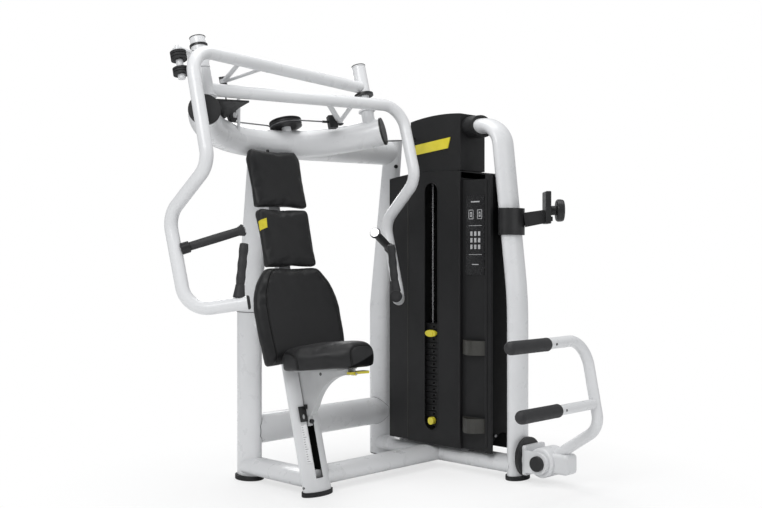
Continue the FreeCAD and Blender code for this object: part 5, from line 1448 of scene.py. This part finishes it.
# ------------------------------------------------------------------ studio
@dataclass
class Studio:
    """Pale floor and backdrop, soft lamps and the camera. The azimuth is in degrees."""

    camera_at: tuple = (-2.317, -2.5525, 0.802)
    azimuth: float = -45.76
    lens: float = 48.787
    ambient: float = 0.46
    floor_middle: tuple = (0.3, -0.1, 0.0)
    near_share: float = 0.66
    white_near: float = 0.75
    white_far: float = 1.25
    floor_reach: float = 14.0
    lit_point: tuple = (0.25, 0.0, 0.75)

    def background(self) -> None:
        """World that is white to the camera and to transmission rays, and a dimmer grey as light on the object."""
        world = bpy.data.worlds.new("studio")
        bpy.context.scene.world = world
        world.use_nodes = True
        graph = Graph(world.node_tree)
        graph.tree.nodes.clear()
        out = graph.node("ShaderNodeOutputWorld")
        seen = graph.node("ShaderNodeBackground", Color=(1, 1, 1, 1))
        lit = graph.node("ShaderNodeBackground", Color=(0.97, 0.985, 1.0, 1), Strength=self.ambient)
        path = graph.node("ShaderNodeLightPath")
        most = graph.node("ShaderNodeMath", operation="MAXIMUM")
        mix = graph.node("ShaderNodeMixShader")
        graph.link(path.outputs["Is Camera Ray"], most.inputs[0])
        graph.link(path.outputs["Is Transmission Ray"], most.inputs[1])
        for place, source in enumerate((most, lit, seen)):
            graph.link(source.outputs[0], mix.inputs[place])
        graph.link(mix.outputs[0], out.inputs[0])

    def floor(self) -> None:
        """Level floor: mostly white to the camera, with the object's soft shadow kept.

        White takes the near share within white_near of the floor's middle, and all of it past
        white_far.
        """
        recipe = Recipe("studio_floor")
        _, colour = recipe.cloudy(recipe.place(), 0.7, 2.0, (0.90, 0.90, 0.90), (0.92, 0.92, 0.92))
        recipe.feed("Base Color", colour)
        recipe.fill(Roughness=0.9, Specular_IOR_Level=0.1)
        out = recipe.tree.nodes["Material Output"]
        glow = recipe.node("ShaderNodeEmission", Color=(1, 1, 1, 1), Strength=1.0)
        path = recipe.node("ShaderNodeLightPath")
        share = recipe.node("ShaderNodeMath", operation="MULTIPLY")
        far = recipe.node("ShaderNodeVectorMath", operation="DISTANCE")
        far.inputs[1].default_value = self.floor_middle
        recipe.link(recipe.place(), far.inputs[0])
        recipe.link(path.outputs["Is Camera Ray"], share.inputs[0])
        white = recipe.remap(far.outputs["Value"], self.near_share, 1.0, self.white_near, self.white_far)
        recipe.link(white, share.inputs[1])
        mix = recipe.node("ShaderNodeMixShader")
        for place, source in enumerate((share, recipe.shader, glow)):
            recipe.link(source.outputs[0], mix.inputs[place])
        recipe.link(mix.outputs[0], out.inputs["Surface"])
        corners = np.array([[-1, -1, 0], [1, -1, 0], [1, 1, 0], [-1, 1, 0]]) * self.floor_reach
        floor = make_object("studio_floor", corners + [0, 0, -0.0005], [[0, 1, 2, 3]])
        floor.data.materials.append(recipe.material)

    def lamp(self, name: str, at: Floats, size: float, power: float) -> None:
        """Soft square lamp that faces the lit point."""
        light = bpy.data.lights.new(name, "AREA")
        light.size = size
        light.energy = power
        thing = bpy.data.objects.new(name, light)
        bpy.context.collection.objects.link(thing)
        thing.location = at
        thing.rotation_euler = (Vector(self.lit_point) - Vector(at)).to_track_quat("-Z", "Y").to_euler()

    def camera(self) -> None:
        """Level camera off the machine's front left corner."""
        view = bpy.data.cameras.new("camera")
        view.lens = self.lens
        view.sensor_width = 36.0
        thing = bpy.data.objects.new("camera", view)
        bpy.context.collection.objects.link(thing)
        thing.location = self.camera_at
        thing.rotation_euler = (math.radians(90.0), 0.0, math.radians(self.azimuth))
        bpy.context.scene.camera = thing

    def build(self) -> None:
        """Sets up the studio."""
        bpy.context.scene.view_settings.view_transform = "Standard"
        self.background()
        self.floor()
        self.camera()
        self.lamp("key_lamp", (-2.9, -1.2, 3.0), 1.8, 62.0)
        self.lamp("top_lamp", (0.4, 0.0, 3.6), 2.4, 52.0)
        self.lamp("fill_lamp", (1.6, -3.4, 1.6), 1.6, 10.0)
        self.lamp("rim_lamp", (1.8, 2.8, 2.4), 1.6, 34.0)
        log.info("studio ready")


def main() -> None:
    """Loads the frame, builds every sub-assembly in order and reports it."""
    logging.basicConfig(level=logging.INFO, format="%(name)s: %(message)s")
    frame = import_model()
    palette = Palette()
    palette.mix()
    machine = Machine(frame, palette)
    Studio().build()
    machine.dress_nodes()
    for part in (Upholstery(), Handles(), CableRuns(), FrameDetails(), TowerDetails()):
        part.build(machine)
    log.info("%d new pieces", machine.pieces)


if __name__ == "__main__":
    main()
